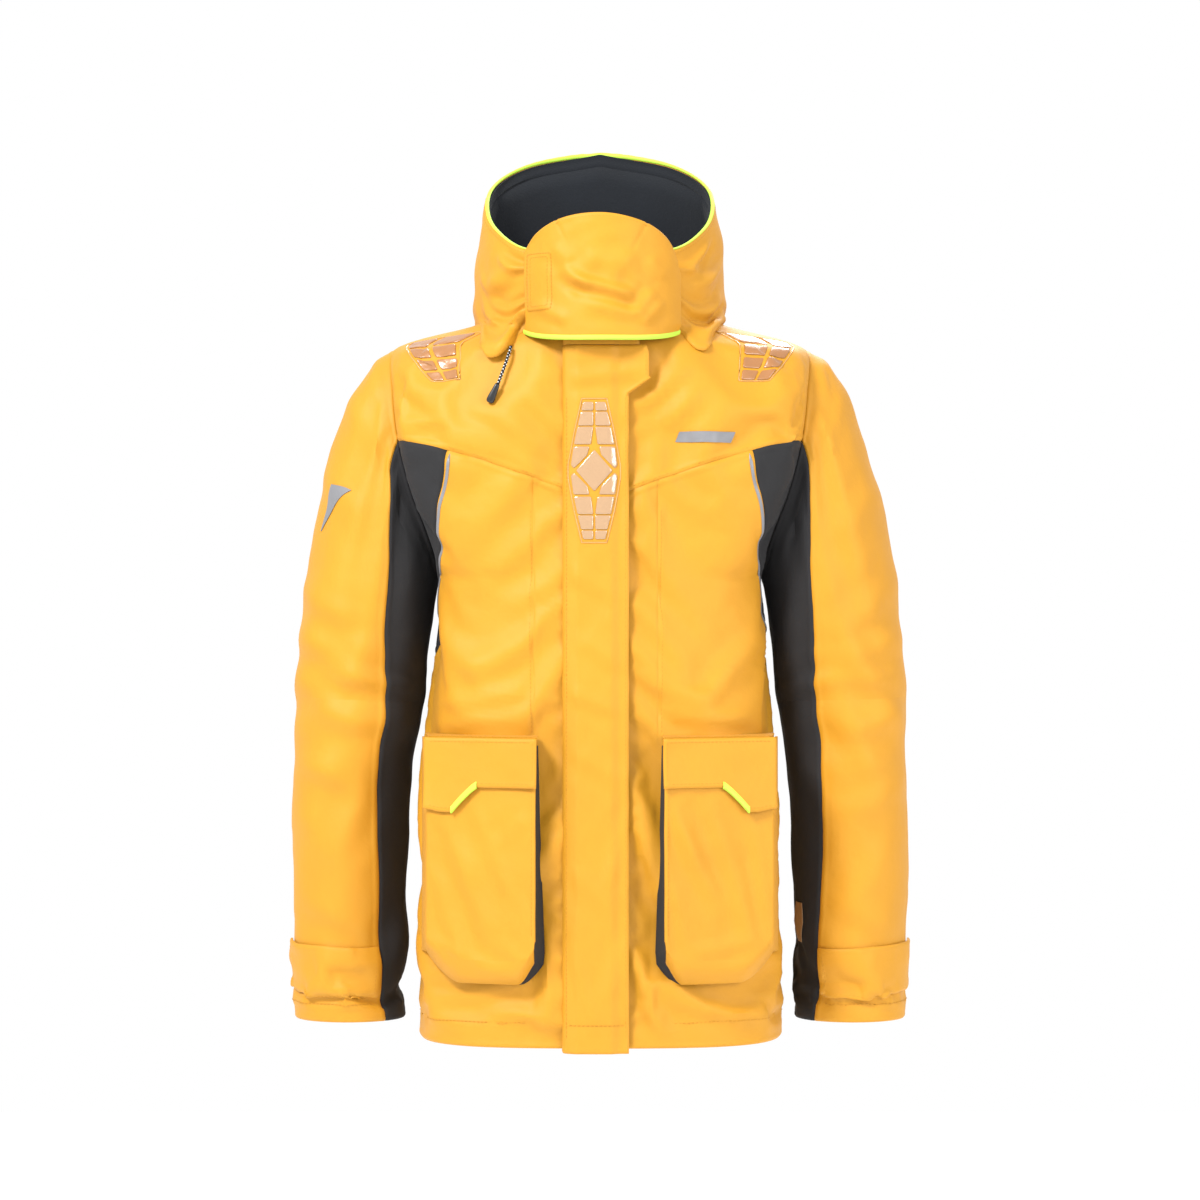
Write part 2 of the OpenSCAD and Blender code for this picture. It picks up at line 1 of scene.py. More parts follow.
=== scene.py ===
"""Looks of the foul weather jacket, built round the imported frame. Lengths in the tables are millimetres."""
import math

import bmesh
import bpy
import numpy as np
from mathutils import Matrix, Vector


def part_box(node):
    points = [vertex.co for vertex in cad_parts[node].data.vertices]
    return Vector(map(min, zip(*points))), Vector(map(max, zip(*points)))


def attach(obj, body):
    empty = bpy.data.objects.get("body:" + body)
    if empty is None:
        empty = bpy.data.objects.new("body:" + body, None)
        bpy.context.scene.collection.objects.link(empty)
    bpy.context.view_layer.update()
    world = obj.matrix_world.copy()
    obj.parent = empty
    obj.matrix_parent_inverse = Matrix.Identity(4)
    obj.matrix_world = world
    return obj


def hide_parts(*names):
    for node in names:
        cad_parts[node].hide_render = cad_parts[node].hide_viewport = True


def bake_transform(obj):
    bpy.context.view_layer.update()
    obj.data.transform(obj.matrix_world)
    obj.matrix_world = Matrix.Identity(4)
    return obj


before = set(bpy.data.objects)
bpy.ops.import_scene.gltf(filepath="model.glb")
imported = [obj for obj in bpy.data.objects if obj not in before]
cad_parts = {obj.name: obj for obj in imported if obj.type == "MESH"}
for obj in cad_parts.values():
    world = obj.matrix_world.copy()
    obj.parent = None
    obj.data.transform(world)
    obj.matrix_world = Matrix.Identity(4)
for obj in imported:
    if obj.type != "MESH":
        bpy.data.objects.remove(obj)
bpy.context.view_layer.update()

# One design millimetre in metres: the hem lies BODY_LEN below the neck base
BODY_LEN = 693.0
MM = -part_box("back_panel")[0].z / BODY_LEN
RIGHT, LEFT = -1, 1
SIDES = {"right": RIGHT, "left": LEFT}

# ---------------------------------------------------------------- the worn shape
# drop below the neck base, half width, back depth, squareness
TORSO = np.array([
    [-8, 123, 104, 1.00], [0, 160, 106, 1.35], [8, 190, 109, 1.35], [16, 205, 111, 1.22],
    [60, 203, 115, 0.84], [108, 197, 118, 0.72], [160, 184, 120, 0.67], [200, 169, 120, 0.64],
    [240, 158.5, 118, 0.62], [280, 160, 115, 0.61], [315, 164, 113, 0.60], [375, 170, 114, 0.60],
    [455, 175, 117, 0.60], [535, 177, 120, 0.60], [700, 179, 125, 0.60]])
# ring, outer x, outer drop, inner x, inner drop, half depth
SLEEVE = np.array([
    [0, 206.5, 15, 160, 240, 72], [1, 235, 35, 162, 246, 74], [2, 254, 75, 163.5, 252, 76],
    [3, 269, 115, 164.5, 260, 77], [4, 280, 160, 166, 270, 78], [5, 290, 210, 168, 285, 78],
    [6, 297, 260, 171, 305, 77], [7, 302, 310, 173.5, 335, 75], [8, 305, 360, 177, 365, 72],
    [9, 307, 420, 187, 420, 68], [10, 308, 480, 192, 480, 65], [11, 308, 560, 195, 560, 60],
    [12, 306, 640, 195, 640, 55], [13, 304, 681, 195, 681, 52]], float)
DARK = np.array([[0, 80], [2, 95], [4, 107], [6, 112], [8, 118], [10, 122], [12, 130], [13, 134]], float)
SIDE = np.array([[105, 41], [122, 42.5], [149, 46.5], [204, 64], [260, 73], [300, 80], [330, 89]], float)
COLLAR = np.array([[-200, 104, 92], [-138, 113, 97], [-95, 121, 102], [-33, 125, 104], [-8, 123, 104]], float)
RIM = np.array([[0, 73], [35, 75], [60, 100], [90, 138], [135, 176], [180, 194]], float)
GUARD = np.array([[-66, 71], [-50, 88], [-27, 101], [0, 105], [25, 99], [44, 88], [56, 74], [64, 50]], float)
# Armhole: drops of its upper and lower ends, half depth
ARM_TOP, ARM_LOW, ARM_Y = 15.0, 240.0, 72.0
# Zip: how far forward it lies at the neck base, how that grows with the drop, height of its top, half gap
ZIP_OUT, ZIP_SLOPE, ZIP_TOP, ZIP_GAP = 124.0, 0.04, 66.0, 10.0
# Storm flap: room over the zip, place of its fixed edge, thickness
FLAP_ROOM, FLAP_X, CLOTH = 9.0, -36.0, 2.6
# Face guard: radius, middle, drop of its lower edge and how far that edge rises towards its ends
GUARD_R, GUARD_MID, GUARD_DROP, GUARD_LIFT = 83.5, (2.0, -70.0), 12.5, 9.0
# Seam between the front panels, from the middle, on each side
PRINCESS = {RIGHT: 64.0, LEFT: 56.0}
# Drop of the stitched hem row on the body and the sleeves
HEM_ROW, CUFF_ROW = 670.0, 668.0
SHELL_THICK, LINING_THICK, LINING_LIFT = 2.2, 1.0, -3.4


def mix(a, b, t):
    return a + (b - a) * t


def smooth(t):
    t = np.clip(t, 0, 1)
    return t * t * (3 - 2 * t)


def curve(rows, col, p):
    """Smooth reading of a table whose first column rises."""
    x, y = rows[:, 0], rows[:, col]
    n = len(x)
    p = np.asarray(p, float)
    i = np.clip(np.searchsorted(x, p, side="right") - 1, 0, n - 2)
    lo, hi = np.maximum(np.arange(n) - 1, 0), np.minimum(np.arange(n) + 1, n - 1)
    slope = (y[hi] - y[lo]) / (x[hi] - x[lo])
    h = x[i + 1] - x[i]
    t = np.clip((p - x[i]) / h, 0, 1)
    t2, t3 = t * t, t ** 3
    return ((2 * t3 - 3 * t2 + 1) * y[i] + (t3 - 2 * t2 + t) * h * slope[i]
            + (3 * t2 - 2 * t3) * y[i + 1] + (t3 - t2) * h * slope[i + 1])


def sind(a):
    return np.sin(np.radians(a))


def cosd(a):
    return np.cos(np.radians(a))


def front_depth(d):
    return ZIP_OUT + ZIP_SLOPE * np.asarray(d, float)


def armhole(d):
    mid, half = (ARM_TOP + ARM_LOW) / 2, (ARM_LOW - ARM_TOP) / 2
    return ARM_Y * np.sqrt(np.maximum(0, 1 - ((d - mid) / half) ** 2))


def torso(t, d):
    """Outer surface t degrees round from the centre front, wearer's left positive, at a drop d."""
    t, d = np.broadcast_arrays(np.asarray(t, float), np.asarray(d, float))
    w, e, a = curve(TORSO, 1, d), curve(TORSO, 3, d), armhole(d)
    s, c = sind(t), cosd(t)
    front = np.abs(t) <= 90
    depth = np.where(front, front_depth(d), curve(TORSO, 2, d))
    y = np.where(front, -1, 1) * (a + (depth - a) * np.abs(c) ** e)
    return np.stack([w * np.sign(s) * np.abs(s) ** e, y, -d], -1)


def torso_turn(x, d):
    w, e = curve(TORSO, 1, d), curve(TORSO, 3, d)
    return np.degrees(np.arcsin(np.clip((np.abs(x) / w) ** (1 / e), 0, 1))) * np.sign(x)


def sleeve(a, s):
    """Outer surface of the wearer's left sleeve at ring s, a degrees round from its outer line."""
    a, s = np.broadcast_arrays(np.asarray(a, float), np.asarray(s, float))
    q = (1 - cosd(a)) / 2
    d = mix(curve(SLEEVE, 2, s), curve(SLEEVE, 4, s), q)
    d0 = mix(ARM_TOP, ARM_LOW, q)
    lift = np.clip(1 - s / 3, 0, 1) ** 2 * (curve(TORSO, 1, d0) + 0.3 - mix(206.5, 160, q))
    x = mix(curve(SLEEVE, 1, s), curve(SLEEVE, 3, s), q) + lift
    return np.stack([x, -curve(SLEEVE, 5, s) * sind(a), -d], -1)


def collar(t, d):
    t, d = np.broadcast_arrays(np.asarray(t, float), np.asarray(d, float))
    c = cosd(t)
    y = np.where(c > 0, -front_depth(d) * c, -curve(COLLAR, 2, d) * c)
    return np.stack([curve(COLLAR, 1, d) * sind(t), y, -d], -1)


def rim(t):
    t = np.asarray(t, float) % 360
    return curve(RIM, 1, np.where(t > 180, 360 - t, t))


def guard(a, z):
    a, z = np.broadcast_arrays(np.asarray(a, float), np.asarray(z, float))
    return np.stack([GUARD_MID[0] + GUARD_R * sind(a), GUARD_MID[1] - GUARD_R * cosd(a), z], -1)


def unit(v):
    return v / np.maximum(np.linalg.norm(v, axis=-1, keepdims=True), 1e-9)


def normals(P, out=1, closed=False):
    """Outward directions of a grid of points P[i, j]."""
    di = np.gradient(P, axis=0)
    if closed:
        dj = (np.roll(P, -1, 1) - np.roll(P, 1, 1)) / 2
    else:
        dj = np.gradient(P, axis=1)
    return out * unit(np.cross(di, dj))


# ---------------------------------------------------------------- cloth with folds
def cubic(F, i, j, wrap):
    """Smooth reading of a grid F[i, j] at fractional places; wrap joins the two ends of j."""
    ni, nj = F.shape[:2]
    out = 0
    i0, j0 = np.floor(i).astype(int), np.floor(j).astype(int)
    fi, fj = i - i0, j - j0

    def weights(t):
        return [-0.5 * t + t * t - 0.5 * t ** 3, 1 - 2.5 * t * t + 1.5 * t ** 3,
                0.5 * t + 2 * t * t - 1.5 * t ** 3, -0.5 * t * t + 0.5 * t ** 3]
    for a, wa in zip(range(-1, 3), weights(fi)):
        for b, wb in zip(range(-1, 3), weights(fj)):
            ii = np.clip(i0 + a, 0, ni - 1)
            jj = (j0 + b) % (nj - 1) if wrap else np.clip(j0 + b, 0, nj - 1)
            out = out + (wa * wb)[..., None] * F[ii, jj]
    return out


class Cloth:
    """A surface f(u, v) with its folds kept on a grid, rows along v and columns along u."""

    def __init__(self, f, us, vs, out=1, wrap=False):
        self.f, self.us, self.vs, self.out, self.wrap = f, us, vs, out, wrap
        self.P = f(*np.meshgrid(us, vs))
        self.N = normals(self.P, out)
        self.move = np.zeros_like(self.P)

    def at(self, u, v):
        u, v = np.broadcast_arrays(np.asarray(u, float), np.asarray(v, float))
        j = (u - self.us[0]) / (self.us[-1] - self.us[0]) * (len(self.us) - 1)
        if self.wrap:
            j = j % (len(self.us) - 1)
        i = np.interp(v, self.vs, np.arange(len(self.vs)))
        return self.f(u, v) + cubic(self.move, i, j, self.wrap)

    def push(self, height):
        """Moves the cloth out by height, a grid in millimetres."""
        self.move += self.N * np.asarray(height)[..., None]


def crease(P, x0, z0, x1, z1, wide, high):
    """Height of a soft fold along a line seen from the front; it fades at its ends and dips on its far side."""
    ax, az = x1 - x0, z1 - z0
    long = math.hypot(ax, az)
    t = ((P[..., 0] - x0) * ax + (P[..., 2] - z0) * az) / long ** 2
    s = ((P[..., 0] - x0) * az - (P[..., 2] - z0) * ax) / long / wide
    fade = smooth((t + 0.12) / 0.35) * smooth((1.12 - t) / 0.35)
    return high * fade * (np.exp(-s * s) - 0.55 * np.exp(-(s - 1.9) ** 2))


def ripple(P, size, high, seed):
    """Gentle unevenness of about that size, in millimetres."""
    rng = np.random.default_rng(seed)
    h = 0
    for _ in range(9):
        way = unit(rng.normal(size=3))
        waves = 2 * math.pi / (size * rng.uniform(0.7, 1.6))
        h = h + np.sin(P @ way * waves + rng.uniform(0, 7)) / 9
    return high * h * 2


# Cloth simulation: frames, looseness, bending stiffness, share of gravity, solver steps
SIM_FRAMES, SIM_SHRINK, SIM_BEND, SIM_GRAVITY, SIM_STEPS = 24, -0.035, 3.0, 0.6, 6


def simulate(name, P, pin, wrap, cap):
    """Lets a grid of cloth a little too big for its place buckle; returns how far each point moved."""
    ni, nj = P.shape[:2]
    cols = nj - 1 if wrap else nj
    faces = [(i * cols + j, i * cols + (j + 1) % cols, (i + 1) * cols + (j + 1) % cols, (i + 1) * cols + j)
             for i in range(ni - 1) for j in range(cols if wrap else cols - 1)]
    body = add_mesh(name, P[:, :cols].reshape(-1, 3), faces, rounded=False)
    group = body.vertex_groups.new(name="pin")
    for k, w in enumerate(pin[:, :cols].reshape(-1)):
        if w > 0:
            group.add([k], float(w), "REPLACE")
    modifier = body.modifiers.new("cloth", "CLOTH")
    cloth = modifier.settings
    cloth.quality = SIM_STEPS
    cloth.mass = 0.25
    cloth.air_damping = 4.0
    cloth.tension_stiffness = cloth.compression_stiffness = 25.0
    cloth.shear_stiffness = 8.0
    cloth.bending_stiffness = SIM_BEND
    cloth.bending_damping = 2.0
    cloth.vertex_group_mass = "pin"
    cloth.pin_stiffness = 1.0
    cloth.shrink_min = cloth.shrink_max = SIM_SHRINK
    cloth.effector_weights.gravity = SIM_GRAVITY
    scene = bpy.context.scene
    modifier.point_cache.frame_start = 1
    modifier.point_cache.frame_end = SIM_FRAMES
    for f in range(1, SIM_FRAMES + 1):
        scene.frame_set(f)
    done = body.evaluated_get(bpy.context.evaluated_depsgraph_get())
    got = np.zeros(len(done.data.vertices) * 3)
    done.data.vertices.foreach_get("co", got)
    scene.frame_set(1)
    bpy.data.objects.remove(body)
    move = got.reshape(ni, cols, 3) / MM - P[:, :cols]
    size = np.linalg.norm(move, axis=-1, keepdims=True)
    move *= cap * np.tanh(size / cap) / np.maximum(size, 1e-6)
    return np.concatenate([move, move[:, :1]], 1) if wrap else move


# ---------------------------------------------------------------- meshes
def add_mesh(name, verts, faces, rounded=True):
    """An object from vertices in millimetres; rounded sets smooth shading."""
    mesh = bpy.data.meshes.new(name)
    mesh.from_pydata((np.asarray(verts) * MM).tolist(), [], faces)
    mesh.polygons.foreach_set("use_smooth", np.full(len(mesh.polygons), rounded))
    piece = bpy.data.objects.new(name, mesh)
    bpy.context.scene.collection.objects.link(piece)
    return piece


def make_mesh(name, verts, faces, uvs=None):
    """A smooth piece that keeps its sharp edges; uvs are per vertex, in millimetres of cloth."""
    piece = add_mesh(name, verts, [tuple(f) for f in np.asarray(faces).tolist()])
    mesh = piece.data
    if uvs is not None:
        layer = mesh.uv_layers.new(name="cloth_mm")
        loops = np.zeros(len(mesh.loops), np.int64)
        mesh.loops.foreach_get("vertex_index", loops)
        layer.data.foreach_set("uv", np.asarray(uvs)[loops].astype(np.float32).ravel())
    mesh.update()
    mesh.set_sharp_from_angle(angle=math.radians(48))
    return piece


def ring_faces(rows, n):
    """Faces of a capped tube of rows rings with n points each."""
    faces = [(i * n + k, i * n + (k + 1) % n, (i + 1) * n + (k + 1) % n, (i + 1) * n + k)
             for i in range(rows - 1) for k in range(n)]
    return faces + [tuple(range(n))[::-1], tuple((rows - 1) * n + k for k in range(n))]


def over(us, vs, surface):
    """Points of surface(u, v) on the grid of columns us and rows vs."""
    return surface(us[None] + 0 * vs[:, None], vs[:, None] + 0 * us[None])


def lengths(P, axis):
    step = np.linalg.norm(np.diff(P, axis=axis), axis=-1)
    zero = np.zeros_like(np.take(step, [0], axis=axis))
    return np.concatenate([zero, np.cumsum(step, axis=axis)], axis=axis)


def seam_shape(dist, kind):
    """Height of cloth at a distance from its edge: 1 a stitched seam, 2 a folded free edge."""
    if kind == 1:
        bumps = 0.45 * np.exp(-((dist - 4.2) / 2.2) ** 2) - 0.25 * np.exp(-((dist - 7.2) / 1.3) ** 2)
        return -0.75 * np.exp(-dist ** 2) + bumps
    if kind == 2:
        return -0.9 * np.exp(-(dist / 0.9) ** 2) + 0.35 * np.exp(-((dist - 3) / 2) ** 2)
    return 0 * dist


def solid_sheet(name, P, out, thick, edges=(0, 0, 0, 0), closed=False, lift=0.0, N=None):
    """A closed sheet over a grid of outer points; edges: kinds of its top, bottom, first and last edge."""
    N = normals(P, out, closed) if N is None else N
    along, down = lengths(P, 1), lengths(P, 0)
    dists = (down, down[-1:] - down, along, along[:, -1:] - along)
    height = lift + sum(seam_shape(d, k) for d, k in zip(dists, edges))
    outer = P + N * np.asarray(height)[..., None]
    inner = P + N * (lift - thick)
    ni, nj = P.shape[:2]
    n = ni * nj
    I, J = np.meshgrid(np.arange(ni - 1), np.arange(nj if closed else nj - 1), indexing="ij")
    K = (J + 1) % nj
    a, b, c, d = (x.ravel() for x in (I * nj + J, I * nj + K, (I + 1) * nj + K, (I + 1) * nj + J))
    top = np.stack([a, d, c, b], 1)
    faces = [top, top[:, ::-1] + n]
    j = np.arange(nj if closed else nj - 1)
    k = (j + 1) % nj
    e = (ni - 1) * nj
    faces += [np.stack([j, k, k + n, j + n], 1), np.stack([e + k, e + j, e + j + n, e + k + n], 1)]
    if not closed:
        i = np.arange(ni - 1) * nj
        faces += [np.stack([i + nj, i, i + n, i + nj + n], 1),
                  np.stack([i + nj - 1, i + 2 * nj - 1, i + 2 * nj - 1 + n, i + nj - 1 + n], 1)]
    faces = np.concatenate(faces)
    if out < 0:
        faces = faces[:, ::-1]
    uv = np.stack([along + 0 * down, down + 0 * along], -1).reshape(-1, 2)
    both = np.concatenate([outer.reshape(-1, 3), inner.reshape(-1, 3)])
    piece = make_mesh(name, both, faces, np.concatenate([uv, uv]))
    cells = np.cross(P[1:, :-1] - P[:-1, :-1], P[:-1, 1:] - P[:-1, :-1])
    piece["area_mm2"] = float(np.linalg.norm(cells, axis=-1).sum())
    return piece


def spaced(long, step):
    """Shares from 0 to 1 of a length, about step apart, closer together near both ends to hold a seam."""
    ends = np.array([0, 0.9, 1.8, 2.9, 4.2, 5.6, 7.2, 9.2])
    ends = ends[ends < long * 0.4]
    middle = np.linspace(ends[-1], long - ends[-1], max(2, int(round((long - 2 * ends[-1]) / step)) + 1))
    return np.unique(np.concatenate([ends, middle, long - ends])) / long


def tube(name, path, radius, sides=8):
    """A round tube along a path of millimetre points; radius may change along it."""
    path = np.asarray(path, float)
    d = unit(np.gradient(path, axis=0))
    ref = np.tile([0.0, 0, 1], (len(path), 1))
    ref[np.abs(d[:, 2]) > 0.9] = [0, 1, 0]
    u = unit(np.cross(d, ref))
    v = np.cross(d, u)
    a = np.linspace(0, 2 * math.pi, sides, endpoint=False)
    r = np.broadcast_to(np.asarray(radius, float), (len(path),))[:, None, None]
    round_it = np.cos(a)[None, :, None] * u[:, None] + np.sin(a)[None, :, None] * v[:, None]
    ring = path[:, None] + r * round_it
    return add_mesh(name, ring.reshape(-1, 3), ring_faces(len(path), sides))


# One stitch: a short bead of thread, half sunk in the cloth, along x
STITCH_RINGS = [(-1.0, 0.0), (-0.8, 0.8), (0.0, 1.0), (0.8, 0.8), (1.0, 0.0)]


def stitch_row(P, N, pitch=4.2, long=3.0, radius=0.42, sink=0.1):
    """Vertices and faces of a row of stitches along a line of points with their outward directions."""
    run = lengths(P[None], 1)[0]
    if run[-1] < pitch * 1.5:
        return np.zeros((0, 3)), np.zeros((0, 4), int)
    where = np.arange(pitch / 2, run[-1], pitch)
    read = lambda rows, place: np.stack([np.interp(place, run, rows[:, k]) for k in range(3)], 1)
    c = read(P, where)
    way = unit(read(P, where + long / 2) - read(P, where - long / 2))
    up = unit(read(N, where))
    side = np.cross(up, way)
    ang = np.linspace(0, math.pi, 5)
    verts = []
    for s, r in STITCH_RINGS:
        for q in ang:
            verts.append(c + way * (s * long / 2) + side * (math.cos(q) * radius * max(r, 0.35))
                         + up * (math.sin(q) * radius * r - sink))
    verts = np.stack(verts, 1)
    m, k = len(STITCH_RINGS), len(ang)
    one = [(i * k + j, i * k + j + 1, (i + 1) * k + j + 1, (i + 1) * k + j)
           for i in range(m - 1) for j in range(k - 1)]
    one += [((i + 1) * k, (i + 1) * k + k - 1, i * k + k - 1, i * k) for i in range(m - 1)]
    one = np.array(one)
    faces = (one[None] + (np.arange(len(where)) * m * k)[:, None, None]).reshape(-1, 4)
    return verts.reshape(-1, 3), faces


def stitches(name, rows, **how):
    """One piece that holds rows of stitches, each a pair of points and outward directions."""
    verts, faces, n = [], [], 0
    for P, N in rows:
        v, f = stitch_row(np.asarray(P), np.asarray(N), **how)
        verts.append(v)
        faces.append(f + n)
        n += len(v)
    return make_mesh(name, np.concatenate(verts), np.concatenate(faces))


# ---------------------------------------------------------------- camera, lights and floor
# Lens and sensor in mm; distance in front of the neck base and drop below it
LENS, SENSOR, EYE_AWAY, EYE_DROP = 99.0, 36.0, 3300.0, 265.0
camera = bpy.data.cameras.new("camera")
camera.lens, camera.sensor_width = LENS, SENSOR
eye = bpy.data.objects.new("camera", camera)
eye.location = (0, -EYE_AWAY * MM, -EYE_DROP * MM)
eye.rotation_euler = (math.radians(90), 0, 0)
bpy.context.scene.collection.objects.link(eye)
bpy.context.scene.camera = eye
bpy.context.scene.view_settings.view_transform = "Standard"


def area_light(name, place, aim, size, power):
    lamp = bpy.data.lights.new(name, "AREA")
    lamp.shape, lamp.size, lamp.energy = "DISK", size, power
    light = bpy.data.objects.new(name, lamp)
    light.location = place
    way = Vector(aim) - Vector(place)
    light.rotation_euler = way.to_track_quat("-Z", "Y").to_euler()
    bpy.context.scene.collection.objects.link(light)


area_light("key", (-1.5, -2.0, 1.7), (0, 0, -0.25), 0.9, 125)
area_light("fill", (2.0, -2.2, 0.5), (0, 0, -0.35), 1.4, 45)
area_light("rim", (0.4, 1.9, 1.4), (0, 0, -0.1), 1.2, 45)
world = bpy.context.scene.world or bpy.data.worlds.new("world")
bpy.context.scene.world = world
world.use_nodes = True
world.node_tree.nodes["Background"].inputs["Color"].default_value = (1, 1, 1, 1)
world.node_tree.nodes["Background"].inputs["Strength"].default_value = 1.0


def material(name, colour, rough, metal=0.0, sheen=0.0, coat=0.0, grain=(), tint=0.0, specular=0.4,
             glow=0.0):
    """A finish for a slot; grain: (size, height) of unevenness in mm; tint: how far the colour wanders; glow:
    strength of painted light, the base colour shining by itself with no lamp.
    """
    m = bpy.data.materials.new(name)
    m.use_nodes = True
    nodes, links = m.node_tree.nodes, m.node_tree.links
    shader = nodes["Principled BSDF"]
    base = (*colour, 1)
    shader.inputs["Base Color"].default_value = base
    shader.inputs["Roughness"].default_value = rough
    shader.inputs["Metallic"].default_value = metal
    shader.inputs["Sheen Weight"].default_value = sheen
    shader.inputs["Coat Weight"].default_value = coat
    shader.inputs["Coat Roughness"].default_value = 0.12
    shader.inputs["Specular IOR Level"].default_value = specular
    if glow:
        shader.inputs["Emission Color"].default_value = base
        shader.inputs["Emission Strength"].default_value = glow
    place = nodes.new("ShaderNodeTexCoord")
    last = None
    for size, height in grain:
        noise = nodes.new("ShaderNodeTexNoise")
        noise.inputs["Scale"].default_value = 1 / (size * MM)
        noise.inputs["Detail"].default_value = 2.5
        links.new(place.outputs["Object"], noise.inputs["Vector"])
        bump = nodes.new("ShaderNodeBump")
        bump.inputs["Strength"].default_value = 1.0
        bump.inputs["Distance"].default_value = height * MM
        links.new(noise.outputs["Fac"], bump.inputs["Height"])
        if last:
            links.new(last.outputs["Normal"], bump.inputs["Normal"])
        last = bump
    if last:
        links.new(last.outputs["Normal"], shader.inputs["Normal"])
    if tint:
        noise = nodes.new("ShaderNodeTexNoise")
        noise.inputs["Scale"].default_value = 14.0
        noise.inputs["Detail"].default_value = 4.0
        links.new(place.outputs["Object"], noise.inputs["Vector"])
        ramp = nodes.new("ShaderNodeValToRGB")
        ramp.color_ramp.elements[0].position, ramp.color_ramp.elements[1].position = 0.3, 0.7
        ramp.color_ramp.elements[0].color = (*(np.array(colour) * (1 - tint)), 1)
        ramp.color_ramp.elements[1].color = (*np.minimum(1, np.array(colour) * (1 + tint)), 1)
        links.new(noise.outputs["Fac"], ramp.inputs["Fac"])
        links.new(ramp.outputs["Color"], shader.inputs["Base Color"])
    return m


SHELL = material("shell_cloth", (0.50, 0.226, 0.0066), 0.62, sheen=0.03,
                 grain=[(0.9, 0.05), (9, 0.35)], tint=0.03)
THREAD = material("shell_thread", (0.44, 0.195, 0.007), 0.7)
DARK_CLOTH = material("dark_cloth", (0.0108, 0.0105, 0.0115), 0.85, sheen=0.02,
                      grain=[(0.9, 0.06), (9, 0.3)], tint=0.08)
FLEECE = material("fleece_pile", (0.006, 0.0078, 0.011), 1.0, sheen=0.04,
                  grain=[(1.6, 0.5), (6, 0.5)], tint=0.15)
LINING = material("lining_cloth", (0.06, 0.065, 0.08), 0.6, sheen=0.1,
                  grain=[(1.2, 0.08), (14, 0.3)])
# Fluoro cloth keeps its real hi-vis colour and also gets a faint painted glow of that colour, light it gives
# off with no lamp
FLUORO_PAINTED_GLOW = material("fluoro_cloth_painted_glow", (0.40, 0.62, 0.05), 0.6, grain=[(1.2, 0.06)], glow=0.1)
REFLECT = material("reflective_film", (0.19, 0.19, 0.2), 0.45, metal=0.15, grain=[(0.8, 0.03)])
TAPE = material("zip_tape_cloth", (0.02, 0.02, 0.023), 0.85, grain=[(1.0, 0.1)])
TEETH = material("zip_teeth_resin", (0.016, 0.016, 0.018), 0.35)
METAL = material("zip_metal_plain", (0.10, 0.10, 0.11), 0.35, metal=0.9)
MOULD = material("moulded_black", (0.012, 0.012, 0.013), 0.38, coat=0.15)
HOOK = material("hook_tape", (0.02, 0.02, 0.023), 0.9, grain=[(0.9, 0.5)])
PATCH_MAT = material("clear_cells", (0.37, 0.225, 0.115), 0.12, coat=0.8,
                     grain=[(2.4, 0.25), (14, 0.5)], specular=0.7)
PATCH_BACK = material("clear_cells_shoulder", (0.30, 0.125, 0.036), 0.32, coat=0.25,
                      grain=[(2.4, 0.25), (14, 0.5)], specular=0.7)
OUTLINE = material("clear_outline", (0.50, 0.26, 0.075), 0.3, coat=0.4)
WEAR = material("wear_print", (0.30, 0.18, 0.09), 0.5, grain=[(1.0, 0.2)])
CORD_BLACK = material("cord_black", (0.015, 0.015, 0.016), 0.85, grain=[(0.8, 0.3)])
FLECK = material("cord_fleck", (0.75, 0.75, 0.72), 0.8)
FLOOR = material("floor_white", (0.95, 0.95, 0.95), 0.9, specular=0.1)

floor_mesh = bpy.data.meshes.new("floor")
FLOOR_Z = -1.12
corners = ((-3, -2.2), (3, -2.2), (3, 2.2), (-3, 2.2))
floor_mesh.from_pydata([(x, y, FLOOR_Z) for x, y in corners], [], [(0, 1, 2, 3)])
floor = bpy.data.objects.new("floor", floor_mesh)
bpy.context.scene.collection.objects.link(floor)
floor_mesh.materials.append(FLOOR)


def dress(piece, mat, body=None, stands_for=(), joint=None):
    """Gives a piece its finish and body; with a joint, as (body a, body b, start, end), it is only baked in
    place, with no body and no blend.
    """
    piece.data.materials.clear()
    piece.data.materials.append(mat)
    if joint:
        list(joint[:2])
        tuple(joint[2])
        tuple(joint[3])
        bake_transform(piece)
    else:
        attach(piece, body)
    if stands_for:
        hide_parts(*stands_for)
    return piece


def cloth_piece(P, rests_on):
    """Works out the flat size of the cut a sheet was sewn from; nothing is done with it."""
    wide, long = lengths(P, 1)[:, -1].max() * MM, lengths(P, 0)[-1].max() * MM


def panel(name, P, out, thick, mat, body_name, node, rests_on=None, joint=None, **how):
    piece = solid_sheet(name, P, out, thick, **how)
    dress(piece, mat, body_name, [node] if node else (), joint)
    if rests_on:
        cloth_piece(P, rests_on)


def sew(name, body_name, rows, **how):
    """Rows of stitches in shell thread."""
    dress(stitches(name, rows, **how), THREAD, body_name)


# ---------------------------------------------------------------- the drawcord
CORD = [[-86, -113.4, -20], [-86.5, -114.6, -22], [-87, -115.7, -24], [-87.7, -116.7, -26.5],
        [-88.4, -117.6, -29], [-89.2, -118.5, -31.5], [-90, -119.3, -34], [-90.8, -120, -36.5],
        [-91.7, -120.7, -39], [-92.6, -121.3, -41.5], [-93.5, -121.9, -44], [-94.4, -122.4, -46.5],
        [-95.3, -122.9, -49], [-96.2, -123.4, -51.5], [-97.1, -123.8, -54], [-98.2, -124.3, -57]]
CORD_D = 3.0


